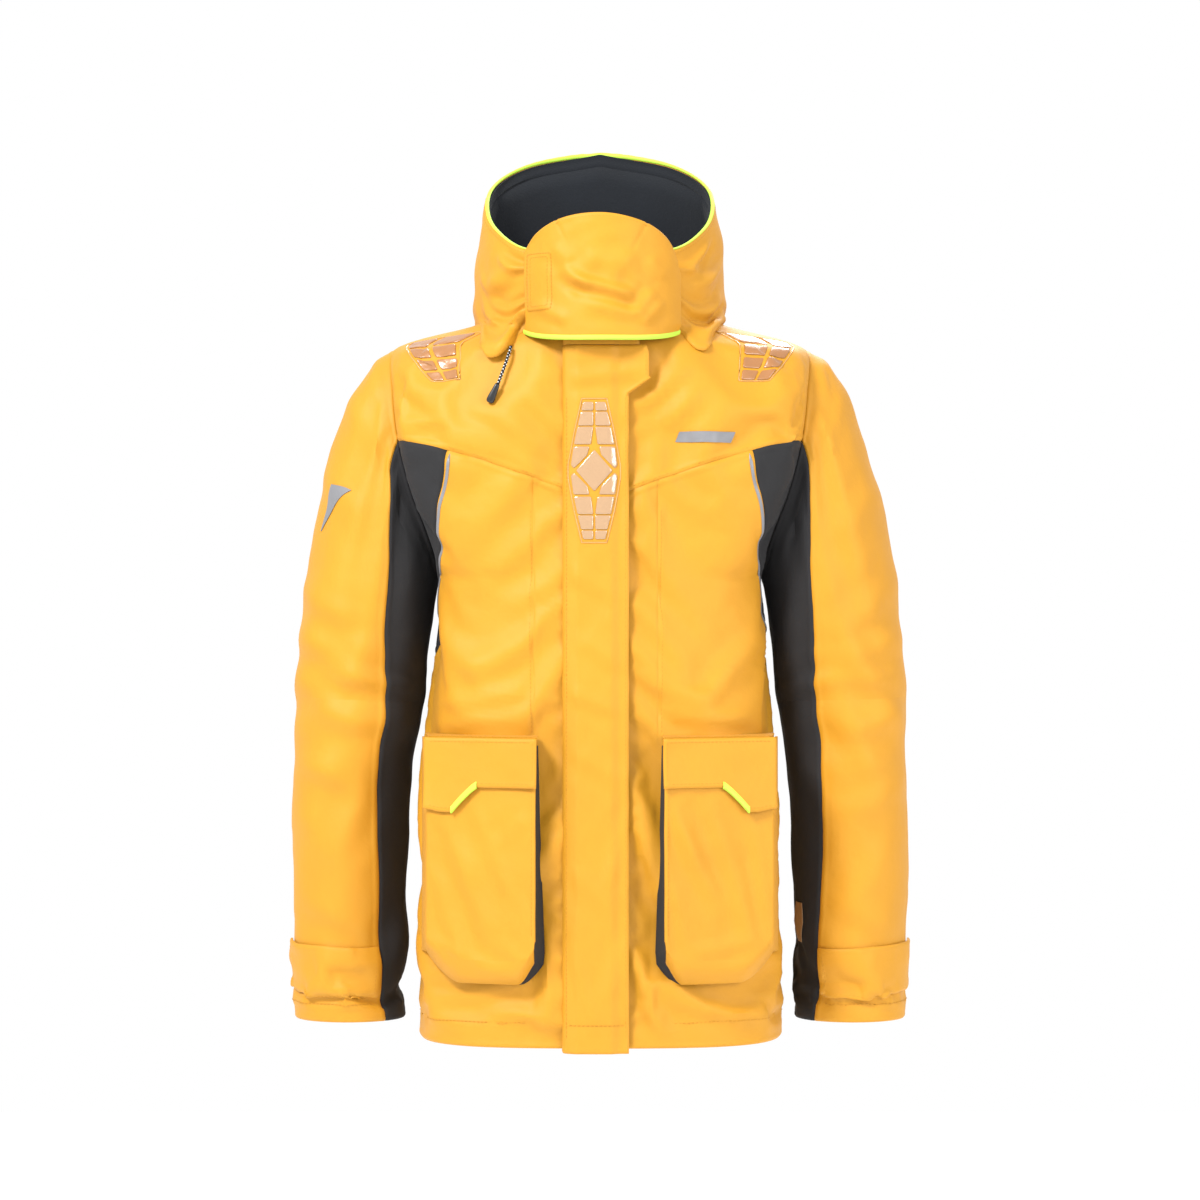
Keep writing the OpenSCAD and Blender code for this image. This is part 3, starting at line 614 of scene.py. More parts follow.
def drawcord():
    route = np.array(CORD, float)
    run = lengths(route[None], 1)[0]
    line = dress(tube("drawcord_braid", route, CORD_D / 2, 12), CORD_BLACK, "torso", ["drawcord"])
    verts, faces = [], []
    for k, s in enumerate(np.arange(1.5, run[-1] - 1, 1.7)):
        c = np.array([np.interp(s, run, route[:, j]) for j in range(3)])
        a = math.radians(-115 + 95 * (k % 2) + 12 * math.sin(k))
        out = np.array([math.cos(a), math.sin(a), 0.0])
        side, up = np.cross(out, [0, 0, 1]), np.array([0, 0, 1.0])
        c = c + out * (CORD_D / 2 - 0.05)
        n = len(verts)
        verts += [c + side * 0.85 - up * 0.5, c + side * 0.45 + up * 0.65, c - side * 0.85 + up * 0.5,
                  c - side * 0.45 - up * 0.65, c + out * 0.3]
        faces += [(n + j, n + (j + 1) % 4, n + 4) for j in range(4)] + [(n + 3, n + 2, n + 1, n)]
    flecks = dress(add_mesh("drawcord_flecks", verts, faces, rounded=False), FLECK, "torso")
    # The moulded pull widens downwards and has a rounded outline
    lean = math.radians(24)
    rows = [(0, 2.0, 1.9), (1.5, 2.5, 2.3), (4, 2.8, 2.5), (8, 3.2, 2.7), (13, 3.8, 2.9), (17, 4.0, 2.9),
            (19, 3.4, 2.5), (19.8, 2.2, 1.7)]
    ang = np.linspace(0, 2 * math.pi, 20, endpoint=False)
    ring = []
    for drop, a, b in rows:
        x = a * np.sign(np.cos(ang)) * np.abs(np.cos(ang)) ** 0.7
        y = b * np.sign(np.sin(ang)) * np.abs(np.sin(ang)) ** 0.7
        ring.append(np.stack([x * math.cos(lean) - drop * math.sin(lean), y,
                              -x * math.sin(lean) - drop * math.cos(lean)], -1))
    ring = np.array(ring) + route[-1] + [-0.2, -1.4, 0]
    faces = [f[::-1] for f in ring_faces(len(rows), len(ang))]
    pull = add_mesh("drawcord_pull_moulded", ring.reshape(-1, 3), faces)
    dress(pull, MOULD, "torso", ["drawcord_pull"])


drawcord()


# ---------------------------------------------------------------- torso cloth
def turn_of(th, d):
    """Degrees in torso() for an evenly spread direction th."""
    e, s, c = curve(TORSO, 3, d), sind(th), cosd(th)
    return np.degrees(np.arctan2(np.sign(s) * np.abs(s) ** (1 / e), np.sign(c) * np.abs(c) ** (1 / e)))


def even(t, d):
    """The evenly spread direction of a torso() turn t."""
    e, s, c = curve(TORSO, 3, d), sind(t), cosd(t)
    return np.degrees(np.arctan2(np.sign(s) * np.abs(s) ** e, np.sign(c) * np.abs(c) ** e))


def body(th, d):
    """The torso's surface at an evenly spread direction."""
    th, d = np.broadcast_arrays(np.asarray(th, float), np.asarray(d, float))
    return torso(turn_of(th, d), d)


def even_x(x, d):
    return even(torso_turn(x, d), d)


def side_turn(d):
    return np.where(np.asarray(d) >= 330, 90.0, curve(SIDE, 1, d))


def yoke_drop(x):
    return 110 + 62 * np.clip(1 - np.abs(x) / 195, 0, 1) ** 1.3


def crossing(line, d=130.0):
    """Drop at which each line(d) of directions meets the yoke seam."""
    for _ in range(12):
        d = yoke_drop(body(line(d), d)[..., 0])
    return d


def spread(knots, c, d):
    """Directions at places c along a chain of edge lines knots, at drops d."""
    lines = np.stack([np.broadcast_to(k(d), d.shape) for k in knots])
    i = np.clip(np.floor(c).astype(int), 0, len(knots) - 2)
    f = c - i
    take = lambda k: np.take_along_axis(lines, np.broadcast_to(k, d.shape)[None], 0)[0]
    return take(i) * (1 - f) + take(i + 1) * f


def columns(widths, step=5.0):
    """Places along a chain of edge lines, closer together beside each line."""
    return np.unique(np.round(np.concatenate([k + spaced(w, step) for k, w in enumerate(widths)]), 9))


front = Cloth(body, np.linspace(-90, 90, 71), np.linspace(-8, 693, 92))
back = Cloth(body, np.linspace(90, 270, 71), np.linspace(-8, 693, 92))


def panel_grid(cloth, knots, widths, top, low, step=5.0, side=LEFT):
    """Drops and folded points of a torso panel between its edge lines, top and low; None is the yoke seam."""
    c = columns(widths, step)[None]
    grid = lambda d: spread(knots, c, np.broadcast_to(d, (1, c.shape[1])).astype(float))
    seam = crossing(grid, np.full((1, c.shape[1]), 130.0))
    first = seam + 0.05 if top is None else np.full(seam.shape, float(top))
    last = seam - 0.05 if low is None else np.full(seam.shape, float(low))
    v = spaced(float((last - first).mean()), step)[:, None]
    d = first + (last - first) * v
    th = spread(knots, np.broadcast_to(c, d.shape), d) * side
    return d, cloth.at(th, d)


def line_on(cloth, us, vs, lift=0.0):
    """Points and outward directions along a line on folded cloth."""
    us, vs = np.broadcast_arrays(np.asarray(us, float), np.asarray(vs, float))
    hu = (cloth.us[-1] - cloth.us[0]) / (len(cloth.us) - 1) * 0.5
    hv = (cloth.vs[-1] - cloth.vs[0]) / (len(cloth.vs) - 1) * 0.5
    P = cloth.at(us, vs)
    down, along = cloth.at(us, vs + hv) - cloth.at(us, vs - hv), cloth.at(us + hu, vs) - cloth.at(us - hu, vs)
    N = cloth.out * unit(np.cross(down, along))
    return P + N * lift, N


def flip(P, side):
    return P * np.array([side, 1, 1]) if side < 0 else P


# Folds seen from the front: start x, start z, end x, end z, width, height
FOLD_GAIN = 1.5
FRONT_FOLDS = [
    (-97, -70, -60, -150, 13, 3.0), (-84, -92, -48, -120, 9, 2.2), (-118, -60, -88, -175, 15, 2.0),
    (-70, -60, -30, -108, 10, 2.4), (-150, -60, -128, -160, 14, 1.8), (95, -60, 60, -100, 10, 4.2),
    (82, -40, 40, -85, 9, 3.6), (128, -60, 92, -150, 14, 2.2), (60, -108, 34, -190, 10, 1.8),
    (-178, -110, -120, -150, 12, 1.8), (176, -105, 128, -150, 12, 1.8),
    (-64, -200, -120, -262, 14, 1.8), (-60, -300, -128, -330, 12, 2.2), (-70, -352, -150, -368, 9, 2.4),
    (-60, -372, -158, -384, 6, 2.0), (-44, -250, -100, -272, 11, 1.4), (40, -262, 96, -330, 12, 2.2),
    (34, -340, 110, -362, 8, 2.2), (60, -372, 150, -380, 6, 2.0), (36, -200, 78, -262, 12, 1.6),
    (150, -300, 96, -372, 10, 2.2), (-150, -290, -104, -352, 10, 2.0), (34, -600, 60, -680, 9, 1.6),
    (-45, -560, -52, -690, 9, 1.4), (150, -640, 164, -690, 8, 1.5), (-168, -600, -160, -690, 9, 1.8),
    (-100, -655, -20, -672, 8, 1.2), (96, -652, 150, -668, 8, 1.4), (40, -470, 58, -560, 8, 1.2)]
BACK_FOLDS = [
    (-120, -60, -60, -140, 14, 2.4), (120, -60, 60, -140, 14, 2.4), (-40, -180, 60, -230, 16, 2.2),
    (130, -240, 40, -300, 14, 2.6), (-130, -250, -30, -318, 14, 2.6), (-90, -330, 30, -372, 12, 2.4),
    (110, -360, -10, -402, 12, 2.4), (-60, -430, -90, -640, 18, 2.2), (50, -440, 84, -650, 18, 2.2),
    (0, -480, 6, -680, 16, 1.8), (140, -500, 130, -690, 14, 1.8), (-140, -520, -134, -690, 14, 1.8)]


def fold_torso():
    """Folds of the torso cloth, easing to nothing at the armholes and the neck."""
    for cloth, folds, seed in ((front, FRONT_FOLDS, 3), (back, BACK_FOLDS, 5)):
        d = -cloth.P[..., 2]
        ease = smooth((d + 2) / 30) * smooth((700 - d) / 22 + 0.35)
        h = ripple(cloth.P, 95, 1.5, seed) + ripple(cloth.P, 34, 0.45, seed + 1)
        for x0, z0, x1, z1, wide, high in folds:
            h = h + FOLD_GAIN * crease(cloth.P, x0, z0, x1, z1, wide, high)
        th = cloth.us[None] if cloth is front else 180 - cloth.us[None]
        side = smooth((90 - np.abs(th)) / 14)
        if cloth is front:
            side = side * smooth((np.abs(cloth.P[..., 0]) - 17) / 16)
        cloth.push(h * ease * side)


# How much of a simulation's overall shift is taken out, and over how many grid cells it is averaged
SHIFT_SHARE, SHIFT_REACH = 0.85, 9


def smear(F, reach, wrap):
    """F averaged over its neighbours in both directions."""
    for axis in (0, 1):
        total = 0
        for k in range(-reach, reach + 1):
            if wrap and axis == 1:
                total = total + np.roll(F[:, :-1], k, 1)
            else:
                place = np.clip(np.arange(F.shape[axis]) + k, 0, F.shape[axis] - 1)
                total = total + np.take(F, place, axis=axis)
        F = np.concatenate([total, total[:, :1]], 1) if wrap and axis == 1 else total
        F = F / (2 * reach + 1)
    return F


def settle(cloth, name, pin, cap=7.0):
    """Adds the creases that a simulation of slightly loose cloth finds, without its overall shift."""
    found = simulate(name, cloth.P + cloth.move, pin, cloth.wrap, cap)
    cloth.move += (found - SHIFT_SHARE * smear(found, SHIFT_REACH, cloth.wrap)) * (1 - pin)[..., None]


def settle_torso():
    """Lets the torso cloth settle, held at its edges, under the zip and a little along the yoke seam."""
    for cloth, name in ((front, "front_drape"), (back, "back_drape")):
        d = -cloth.P[..., 2]
        th = np.abs(cloth.us if cloth is front else 180 - cloth.us)[None] + 0 * d
        pin = np.maximum(smooth((th - 70) / 16), smooth((26 - d) / 16))
        middle = smooth((30 - np.abs(cloth.P[..., 0])) / 10) if cloth is front else 0 * d
        yoke = 0.5 * np.exp(-((d - yoke_drop(cloth.P[..., 0])) / 5) ** 2)
        hem = smooth((d - 668) / 16)
        settle(cloth, name, np.clip(pin + middle + yoke + hem, 0, 1))


fold_torso()
settle_torso()
SEAM_LIFT = 0.15


def hem_groove(d, row):
    """Height of the cloth round a stitched hem row at a drop."""
    return -0.55 * np.exp(-((d - row) / 1.3) ** 2) + 0.3 * smooth((d - row - 1) / 5)


# Drop of the seam between back yoke and back panel
BACK_SEAM = 121.0


def torso_stitches():
    """Topstitching of the torso: beside the princess seams, above the yoke seams and along the hem."""
    for name, side in SIDES.items():
        d = np.arange(178, 392, 3.0)
        x = np.linspace(38 if side < 0 else 32, 150, 70)
        seam = yoke_drop(x) - 3.2
        th = np.linspace(22, 88, 110)
        arm_d = np.arange(40, 118, 3.0)
        rows = [(even_x(PRINCESS[side] + 3.0, d), d), (even_x(x, seam), seam),
                (th, np.full_like(th, HEM_ROW)), (even(90.0 + 0 * arm_d, arm_d) - 2.2, arm_d)]
        sew(f"front_stitches_{name}", "torso", [line_on(front, t * side, d, lift=SEAM_LIFT) for t, d in rows])
    th = np.linspace(93, 267, 240)
    sew("back_stitches", "torso",
        [line_on(back, th, np.full_like(th, d), lift=SEAM_LIFT) for d in (HEM_ROW, BACK_SEAM - 3.5)])


def chest_bar():
    """A plain leaning bar of reflective film on the wearer's left chest."""
    u, v = np.linspace(0, 1, 24)[None], np.linspace(0, 1, 6)[:, None]
    x, d = 72 + 54 * u + 4 * v, 113 - 10 * v + 0 * u
    P, N = line_on(front, even_x(x, d), d)
    panel("chest_bar_film", P, 1, 0.3, REFLECT, "torso", None, lift=0.9, N=N)


def torso_panels():
    for name, side in SIDES.items():
        zip_line = lambda d: even_x(ZIP_GAP, d)
        princess = lambda d, s=side: even_x(PRINCESS[s], d)
        seam = lambda d: even(side_turn(d) + 0 * d, d)
        d, P = panel_grid(front, [zip_line, princess, seam], [54, 130], None, 693, side=side)
        N = normals(P, side)
        x_seam = np.abs(P[..., 0]) - PRINCESS[side]
        above = smooth((402 - d) / 6)
        groove = (-0.8 * np.exp(-x_seam ** 2) + 0.35 * np.exp(-((x_seam - 5) / 3) ** 2)) * above
        P = P + N * (groove + hem_groove(d, HEM_ROW))[..., None]
        panel(f"front_panel_{name}_cloth", P, side, SHELL_THICK, SHELL, "torso", f"front_panel_{name}",
              f"front_yoke_{name}", edges=(1, 2, 0, 1))

        top_line = lambda d: even(90.0 + 0 * d, d)
        d, P = panel_grid(front, [zip_line, top_line], [200], -8, None, side=side)
        panel(f"front_yoke_{name}_cloth", P, side, SHELL_THICK, SHELL, "torso", f"front_yoke_{name}",
              "collar_shell",
              edges=(1, 1, 0, 1))

        inner = lambda d: even(side_turn(d) + 0.12, d)
        d, P = panel_grid(front, [inner, top_line], [60], None, 318, side=side)
        panel(f"side_panel_{name}_cloth", P, side, SHELL_THICK, DARK_CLOTH, "torso", f"side_panel_{name}",
              f"front_yoke_{name}", edges=(1, 1, 1, 1))

        d = np.linspace(124, 300, 60)
        path, out = line_on(front, even(side_turn(d) - 2.0, d) * side, d, lift=0.5)
        across = unit(np.cross(out, np.gradient(path, axis=0)))
        wide = 1.5 * np.minimum(1, np.minimum(d - 122.5, 301.5 - d) / 9)[:, None]
        strip = np.stack([path - across * wide, path, path + across * wide], 1)
        strip[:, 1] += out * 0.5
        panel(f"reflective_piping_{name}_strip", strip, -1, 0.5, REFLECT, "torso",
              f"reflective_piping_{name}", lift=0.2)

        lining_in = lambda d: even(torso_turn(ZIP_GAP + 12, d), d)
        lining_out = lambda d: 83.0 + 0 * d
        c = np.linspace(0, 1, 36)[None]
        dd = np.linspace(45, 659, 64)[:, None] + 0 * c
        P = front.at(spread([lining_in, lining_out], c + 0 * dd, dd) * side, dd)
        panel(f"lining_{name}_cloth", P, side, LINING_THICK, LINING, "torso", f"lining_{name}",
              f"front_panel_{name}_cloth", lift=LINING_LIFT)

    for node, top, low, hangs, last in (("back_yoke", -8, BACK_SEAM, "collar_shell", 1),
                                        ("back_panel", BACK_SEAM + 0.2, BODY_LEN, "back_yoke_cloth", 2)):
        th = np.linspace(90.1, 269.9, 112)[None]
        d = top + (low - top) * spaced(low - top, 6)[:, None] + 0 * th
        P = back.at(th + 0 * d, d)
        if node == "back_panel":
            P = P + normals(P) * hem_groove(d, HEM_ROW)[..., None]
        panel(f"{node}_cloth", P, 1, SHELL_THICK, SHELL, "torso", node, hangs, edges=(1, last, 1, 1))
    P = over(np.linspace(97, 263, 80), np.linspace(30, 657, 70), back.at)
    panel("lining_back_cloth", P, 1, LINING_THICK, LINING, "torso", "lining_back", "back_yoke_cloth",
          lift=LINING_LIFT)
    d, half = np.linspace(663, 691, 5), np.linspace(14, 89, 30)
    P = np.concatenate([over(half, d, front.at), over(np.linspace(92, 268, 60), d, back.at),
                        over(-half[::-1], d, front.at)], 1)
    panel("hem_facing_cloth", P, 1, LINING_THICK, DARK_CLOTH, "torso", "hem_facing", "back_panel_cloth",
          lift=LINING_LIFT)


torso_panels()
torso_stitches()
chest_bar()


# ---------------------------------------------------------------- sleeves
def sleeve_side(side):
    def shape(a, s):
        return flip(sleeve(a, s), side)
    return Cloth(shape, np.linspace(0, 360, 73), np.linspace(0, 13, 92), out=-side, wrap=True)


# Folds of the two sleeves, as the torso's
SLEEVE_FOLDS = {
    "right": [(-262, -40, -212, -120, 13, 2.2), (-280, -130, -226, -190, 12, 2.2),
              (-296, -250, -236, -290, 12, 2.6),
              (-300, -292, -222, -350, 12, 3.4), (-298, -345, -230, -392, 11, 3.4),
              (-226, -300, -286, -402, 13, 3.2),
              (-292, -420, -232, -452, 11, 2.8), (-300, -470, -240, -540, 14, 2.6),
              (-226, -440, -262, -520, 12, 2.6),
              (-296, -560, -228, -588, 10, 2.0), (-240, -180, -270, -260, 14, 2.0)],
    "left": [(262, -40, 216, -110, 13, 2.2), (282, -150, 230, -204, 12, 2.2), (298, -240, 238, -300, 12, 3.0),
             (300, -300, 226, -332, 11, 3.2), (236, -290, 290, -380, 13, 3.4),
             (300, -372, 232, -402, 11, 3.2),
             (228, -350, 282, -452, 13, 2.8), (300, -446, 240, -476, 10, 2.6),
             (294, -500, 240, -566, 13, 2.4),
             (232, -180, 270, -250, 14, 2.0), (240, -560, 296, -596, 10, 2.0)]}


def fold_sleeve(cloth, name, side):
    s = cloth.vs[:, None]
    ease = smooth((s + 0.1) / 1.1) * smooth((13.1 - s) / 0.9)
    P = cloth.P * np.array([side, 1, 1])
    h = ripple(P, 80, 1.7, 11 if side > 0 else 12) + ripple(P, 30, 0.6, 13 if side > 0 else 14)
    frontness = smooth((cloth.P[..., 1] * -1 + 20) / 40)
    for x0, z0, x1, z1, wide, high in SLEEVE_FOLDS[name]:
        h = h + crease(cloth.P, x0, z0, x1, z1, wide, high) * (0.35 + 0.65 * frontness)
    # Deeper crumples on the inside of the elbow
    ring = np.exp(-((s - 8.1) / 1.3) ** 2)
    turn = np.sin(np.radians(cloth.us[None]))
    h = h + ring * 2.2 * np.sin(s * 7.5 + 2 * turn) * (0.12 + 0.88 * frontness * np.abs(turn))
    cloth.push(h * ease)


# Where the cloth would start to follow the upper sleeve, in metres across and up, over what length, which way;
# handed to dress(), which makes no blend
SHOULDER_START, SHOULDER_RUN, SHOULDER_WAY = (0.1835, -0.1275), 0.045, (0.979, -0.202)
# Height at which it would start to follow the lower sleeve, and over what length, in metres; no blend is made
# from them either
ELBOW_Z, ELBOW_RUN = -0.3625, 0.115
# Sleeve ring at which the upper piece ends
ELBOW_RING = 8.0


def sleeve_ring(d):
    """The ring whose outer line lies at a drop near the cuff."""
    rings = np.linspace(10, 13, 61)
    return np.interp(d, curve(SLEEVE, 2, rings), rings)


def sleeve_panels():
    made = {}
    for name, side in SIDES.items():
        cloth = sleeve_side(side)
        fold_sleeve(cloth, name, side)
        s = cloth.vs[:, None] + 0 * cloth.us[None]
        pin = np.clip(smooth((1.3 - s) / 1.3) + smooth((s - 12.4) / 0.5), 0, 1)
        settle(cloth, f"sleeve_drape_{name}", pin, cap=6.0)
        made[name] = cloth
        x, z = SHOULDER_START
        shoulder = ("torso", f"upper_sleeve_{name}", (side * x, 0, z),
                    (side * (x + SHOULDER_RUN * SHOULDER_WAY[0]), 0, z + SHOULDER_RUN * SHOULDER_WAY[1]))
        elbow = (f"upper_sleeve_{name}", f"lower_sleeve_{name}", (0, 0, ELBOW_Z), (0, 0, ELBOW_Z - ELBOW_RUN))
        rows = np.unique(np.round(np.concatenate([[0, 0.03, 0.07, 0.12, 0.18], np.linspace(0.25, 12.8, 124),
                                                  [12.86, 12.92, 12.96, 13.0]]), 6))
        ends = np.array([0.006, 0.014, 0.024, 0.036])
        dark = curve(DARK, 1, rows)[:, None]
        for mat, upper, lower, first, last, count in (
                (SHELL, "upper_sleeve", "lower_sleeve", -dark, dark, 46),
                (DARK_CLOTH, "underarm", "forearm", dark, 360 - dark, 26)):
            share = np.unique(np.concatenate([np.linspace(0, 1, count), ends, 1 - ends]))
            a = mix(first + 0.08, last - 0.08, share[None])
            whole = cloth.at(a, rows[:, None] + 0 * a)
            N = normals(whole, -side)
            whole = whole + N * hem_groove(-whole[..., 2], CUFF_ROW)[..., None]
            mid = int(np.searchsorted(rows, ELBOW_RING))
            for node, part, joint, hangs, edges in (
                    (upper, slice(0, mid + 1), shoulder, f"front_yoke_{name}_cloth", (1, 0, 1, 1)),
                    (lower, slice(mid, None), elbow, f"upper_sleeve_{name}_cloth", (0, 2, 1, 1))):
                panel(f"{node}_{name}_cloth", whole[part], -side, SHELL_THICK, mat, None, f"{node}_{name}",
                      hangs, joint, edges=edges, N=N[part])

        around = np.linspace(-122, 122, 150)
        row = line_on(cloth, around, np.full_like(around, sleeve_ring(664.0)), lift=0.4)
        sew(f"cuff_stitches_{name}", f"lower_sleeve_{name}", [row])

        # Inner cuff: a gathered ring inside the sleeve's end
        ang = np.linspace(0, 360, 61)
        P = []
        for k in np.linspace(0, 2, 9):
            p = cloth.at(ang, np.full_like(ang, mix(12.2, 12.8, k / 2)))
            mid = side * 250.0
            r = 0.86 - 0.07 * k + 0.012 * np.sin(k * 4)
            P.append(np.stack([mid + (p[:, 0] - mid) * r, p[:, 1] * r, p[:, 2]], -1))
        P = np.array(P)[:, :-1]
        panel(f"inner_cuff_{name}_cloth", P, -side, 1.6, DARK_CLOTH, f"lower_sleeve_{name}",
              f"inner_cuff_{name}", f"lower_sleeve_{name}_cloth", closed=True)
    return made


sleeves = sleeve_panels()


def cuff_tabs():
    for name, side in SIDES.items():
        cloth = sleeves[name]
        a = np.concatenate([np.linspace(126, 4, 44), [2, 0, -1.6, -2.8, -3.6, -4]])
        v = np.concatenate([[0, 0.02, 0.05, 0.1], np.linspace(0.16, 0.84, 12), [0.9, 0.95, 0.98, 1]])[:, None]
        half = 25 - 7 * np.clip(-a / 4, 0, 1) ** 3
        d = 627 + (2 * v - 1) * half + 4 * sind(a)
        P, N = line_on(cloth, a[None] + 0 * d, sleeve_ring(d))
        P = P + N * (3.4 + 2.2 * np.clip((40 - a) / 44, 0, 1) * smooth((30 - a) / 60))[None, :, None]
        panel(f"cuff_tab_{name}_cloth", P, side, 2.6, SHELL, f"cuff_tab_{name}", f"cuff_tab_{name}",
              f"lower_sleeve_{name}_cloth", edges=(2, 2, 1, 2))
        places = [(2, slice(2, -3)), (len(v) - 3, slice(2, -3)), (slice(2, -2), -5), (slice(2, -2), 2)]
        sew(f"cuff_tab_{name}_stitches", f"cuff_tab_{name}", [(P[place], N[place]) for place in places])


cuff_tabs()


def sleeve_marks():
    cloth = sleeves["right"]
    v = np.linspace(0, 1, 14)[:, None]
    u = np.linspace(0, 1, 5)[None]
    a = 38 - 8 * v + u * (23 - 22 * v)
    P, N = line_on(cloth, a, mix(3.5 - 0.35 * u, 4.6, v))
    panel("sleeve_badge_film", P, 1, 0.5, REFLECT, "upper_sleeve_right", "sleeve_badge", lift=0.9, N=N)
    cloth = sleeves["left"]
    u = np.linspace(-1, 1, 9)
    v = np.linspace(-1, 1, 9)[:, None]
    wide = 10.5 * (1 - 0.35 * np.abs(v))
    P, N = line_on(cloth, 158 + u[None] * wide, 11.27 + 0.22 * v + 0 * u[None])
    panel("wear_patch_print", P, -1, 0.6, WEAR, "lower_sleeve_left", "wear_patch", lift=1.1, N=N)


sleeve_marks()


# ---------------------------------------------------------------- collar
def torso_y(x, d):
    return torso(torso_turn(x, d), d)[..., 1]


def collar_low(t):
    """Height of the collar's lower edge, which rolls over the yoke on both sides of the front."""
    f = np.abs(np.where(t > 180, t - 360, t))
    left_lobe = np.exp(-(np.abs(f - 55) / 17) ** 2.6) * np.where(t > 180, 1.0, 0.0)
    right_lobe = np.exp(-(np.abs(f - 52) / 15) ** 2.6) * np.where(t > 180, 0.0, 1.0)
    return 8 - 39 * left_lobe - 31 * right_lobe


def collar_shape(t, v):
    """Outer collar, v 0 at the rim to 1 at its lower edge."""
    t, v = np.broadcast_arrays(np.asarray(t, float), np.asarray(v, float))
    top, low = rim(t) - 3.0 * np.exp(-((t - 180) / 9) ** 2), collar_low(t)
    z = mix(top, low, v)
    P = collar(t, -np.maximum(z, -8))
    overhang = smooth((8 - low) / 30)
    below = np.clip(8 - z, 0, 40)
    roll = 2.4 * np.exp(-((v - 0.86) / 0.09) ** 2) * (1 - overhang)
    out = unit(P * np.array([1, 1, 0]))
    P = P + out * (roll + 0.10 * below)[..., None]
    # Where it hangs below its seam it lies on the yoke, with a soft roll above the edge
    near = smooth((46 - z) / 40) * overhang
    x = np.abs(P[..., 0])
    rest = torso_y(x, np.maximum(-z, -7.9)) - 4.2 - 5.5 * np.exp(-((v - 0.9) / 0.07) ** 2)
    P[..., 1] = np.where(P[..., 1] < 0, mix(P[..., 1], np.minimum(rest, P[..., 1]), near), P[..., 1])
    P[..., 2] = z
    return P


# Folds of the collar: start t, start v, end t, end v, half width in v, height; t starts at the centre front
COLLAR_FOLDS = [
    (308, 0.16, 325, 0.27, 0.045, 4.0), (322, 0.20, 300, 0.42, 0.05, 3.2), (318, 0.34, 288, 0.52, 0.05, 3.0),
    (296, 0.66, 330, 0.86, 0.05, 5.5), (300, 0.56, 328, 0.70, 0.04, 3.6), (330, 0.74, 306, 0.98, 0.05, 4.0),
    (62, 0.12, 40, 0.27, 0.045, 4.2), (38, 0.22, 66, 0.44, 0.05, 3.2), (46, 0.40, 78, 0.48, 0.045, 2.8),
    (34, 0.60, 70, 0.72, 0.05, 4.2), (40, 0.76, 66, 0.90, 0.045, 5.0), (60, 0.84, 80, 0.98, 0.04, 4.0),
    (150, 0.45, 120, 0.8, 0.07, 3.0), (210, 0.45, 240, 0.8, 0.07, 3.0), (170, 0.7, 196, 0.92, 0.06, 2.6)]


# The rolled hood's path, as a share of the collar's width and depth
HOOD_IN = np.array([1 - 9.6 / 112, 1 - 9.6 / 112, 1])


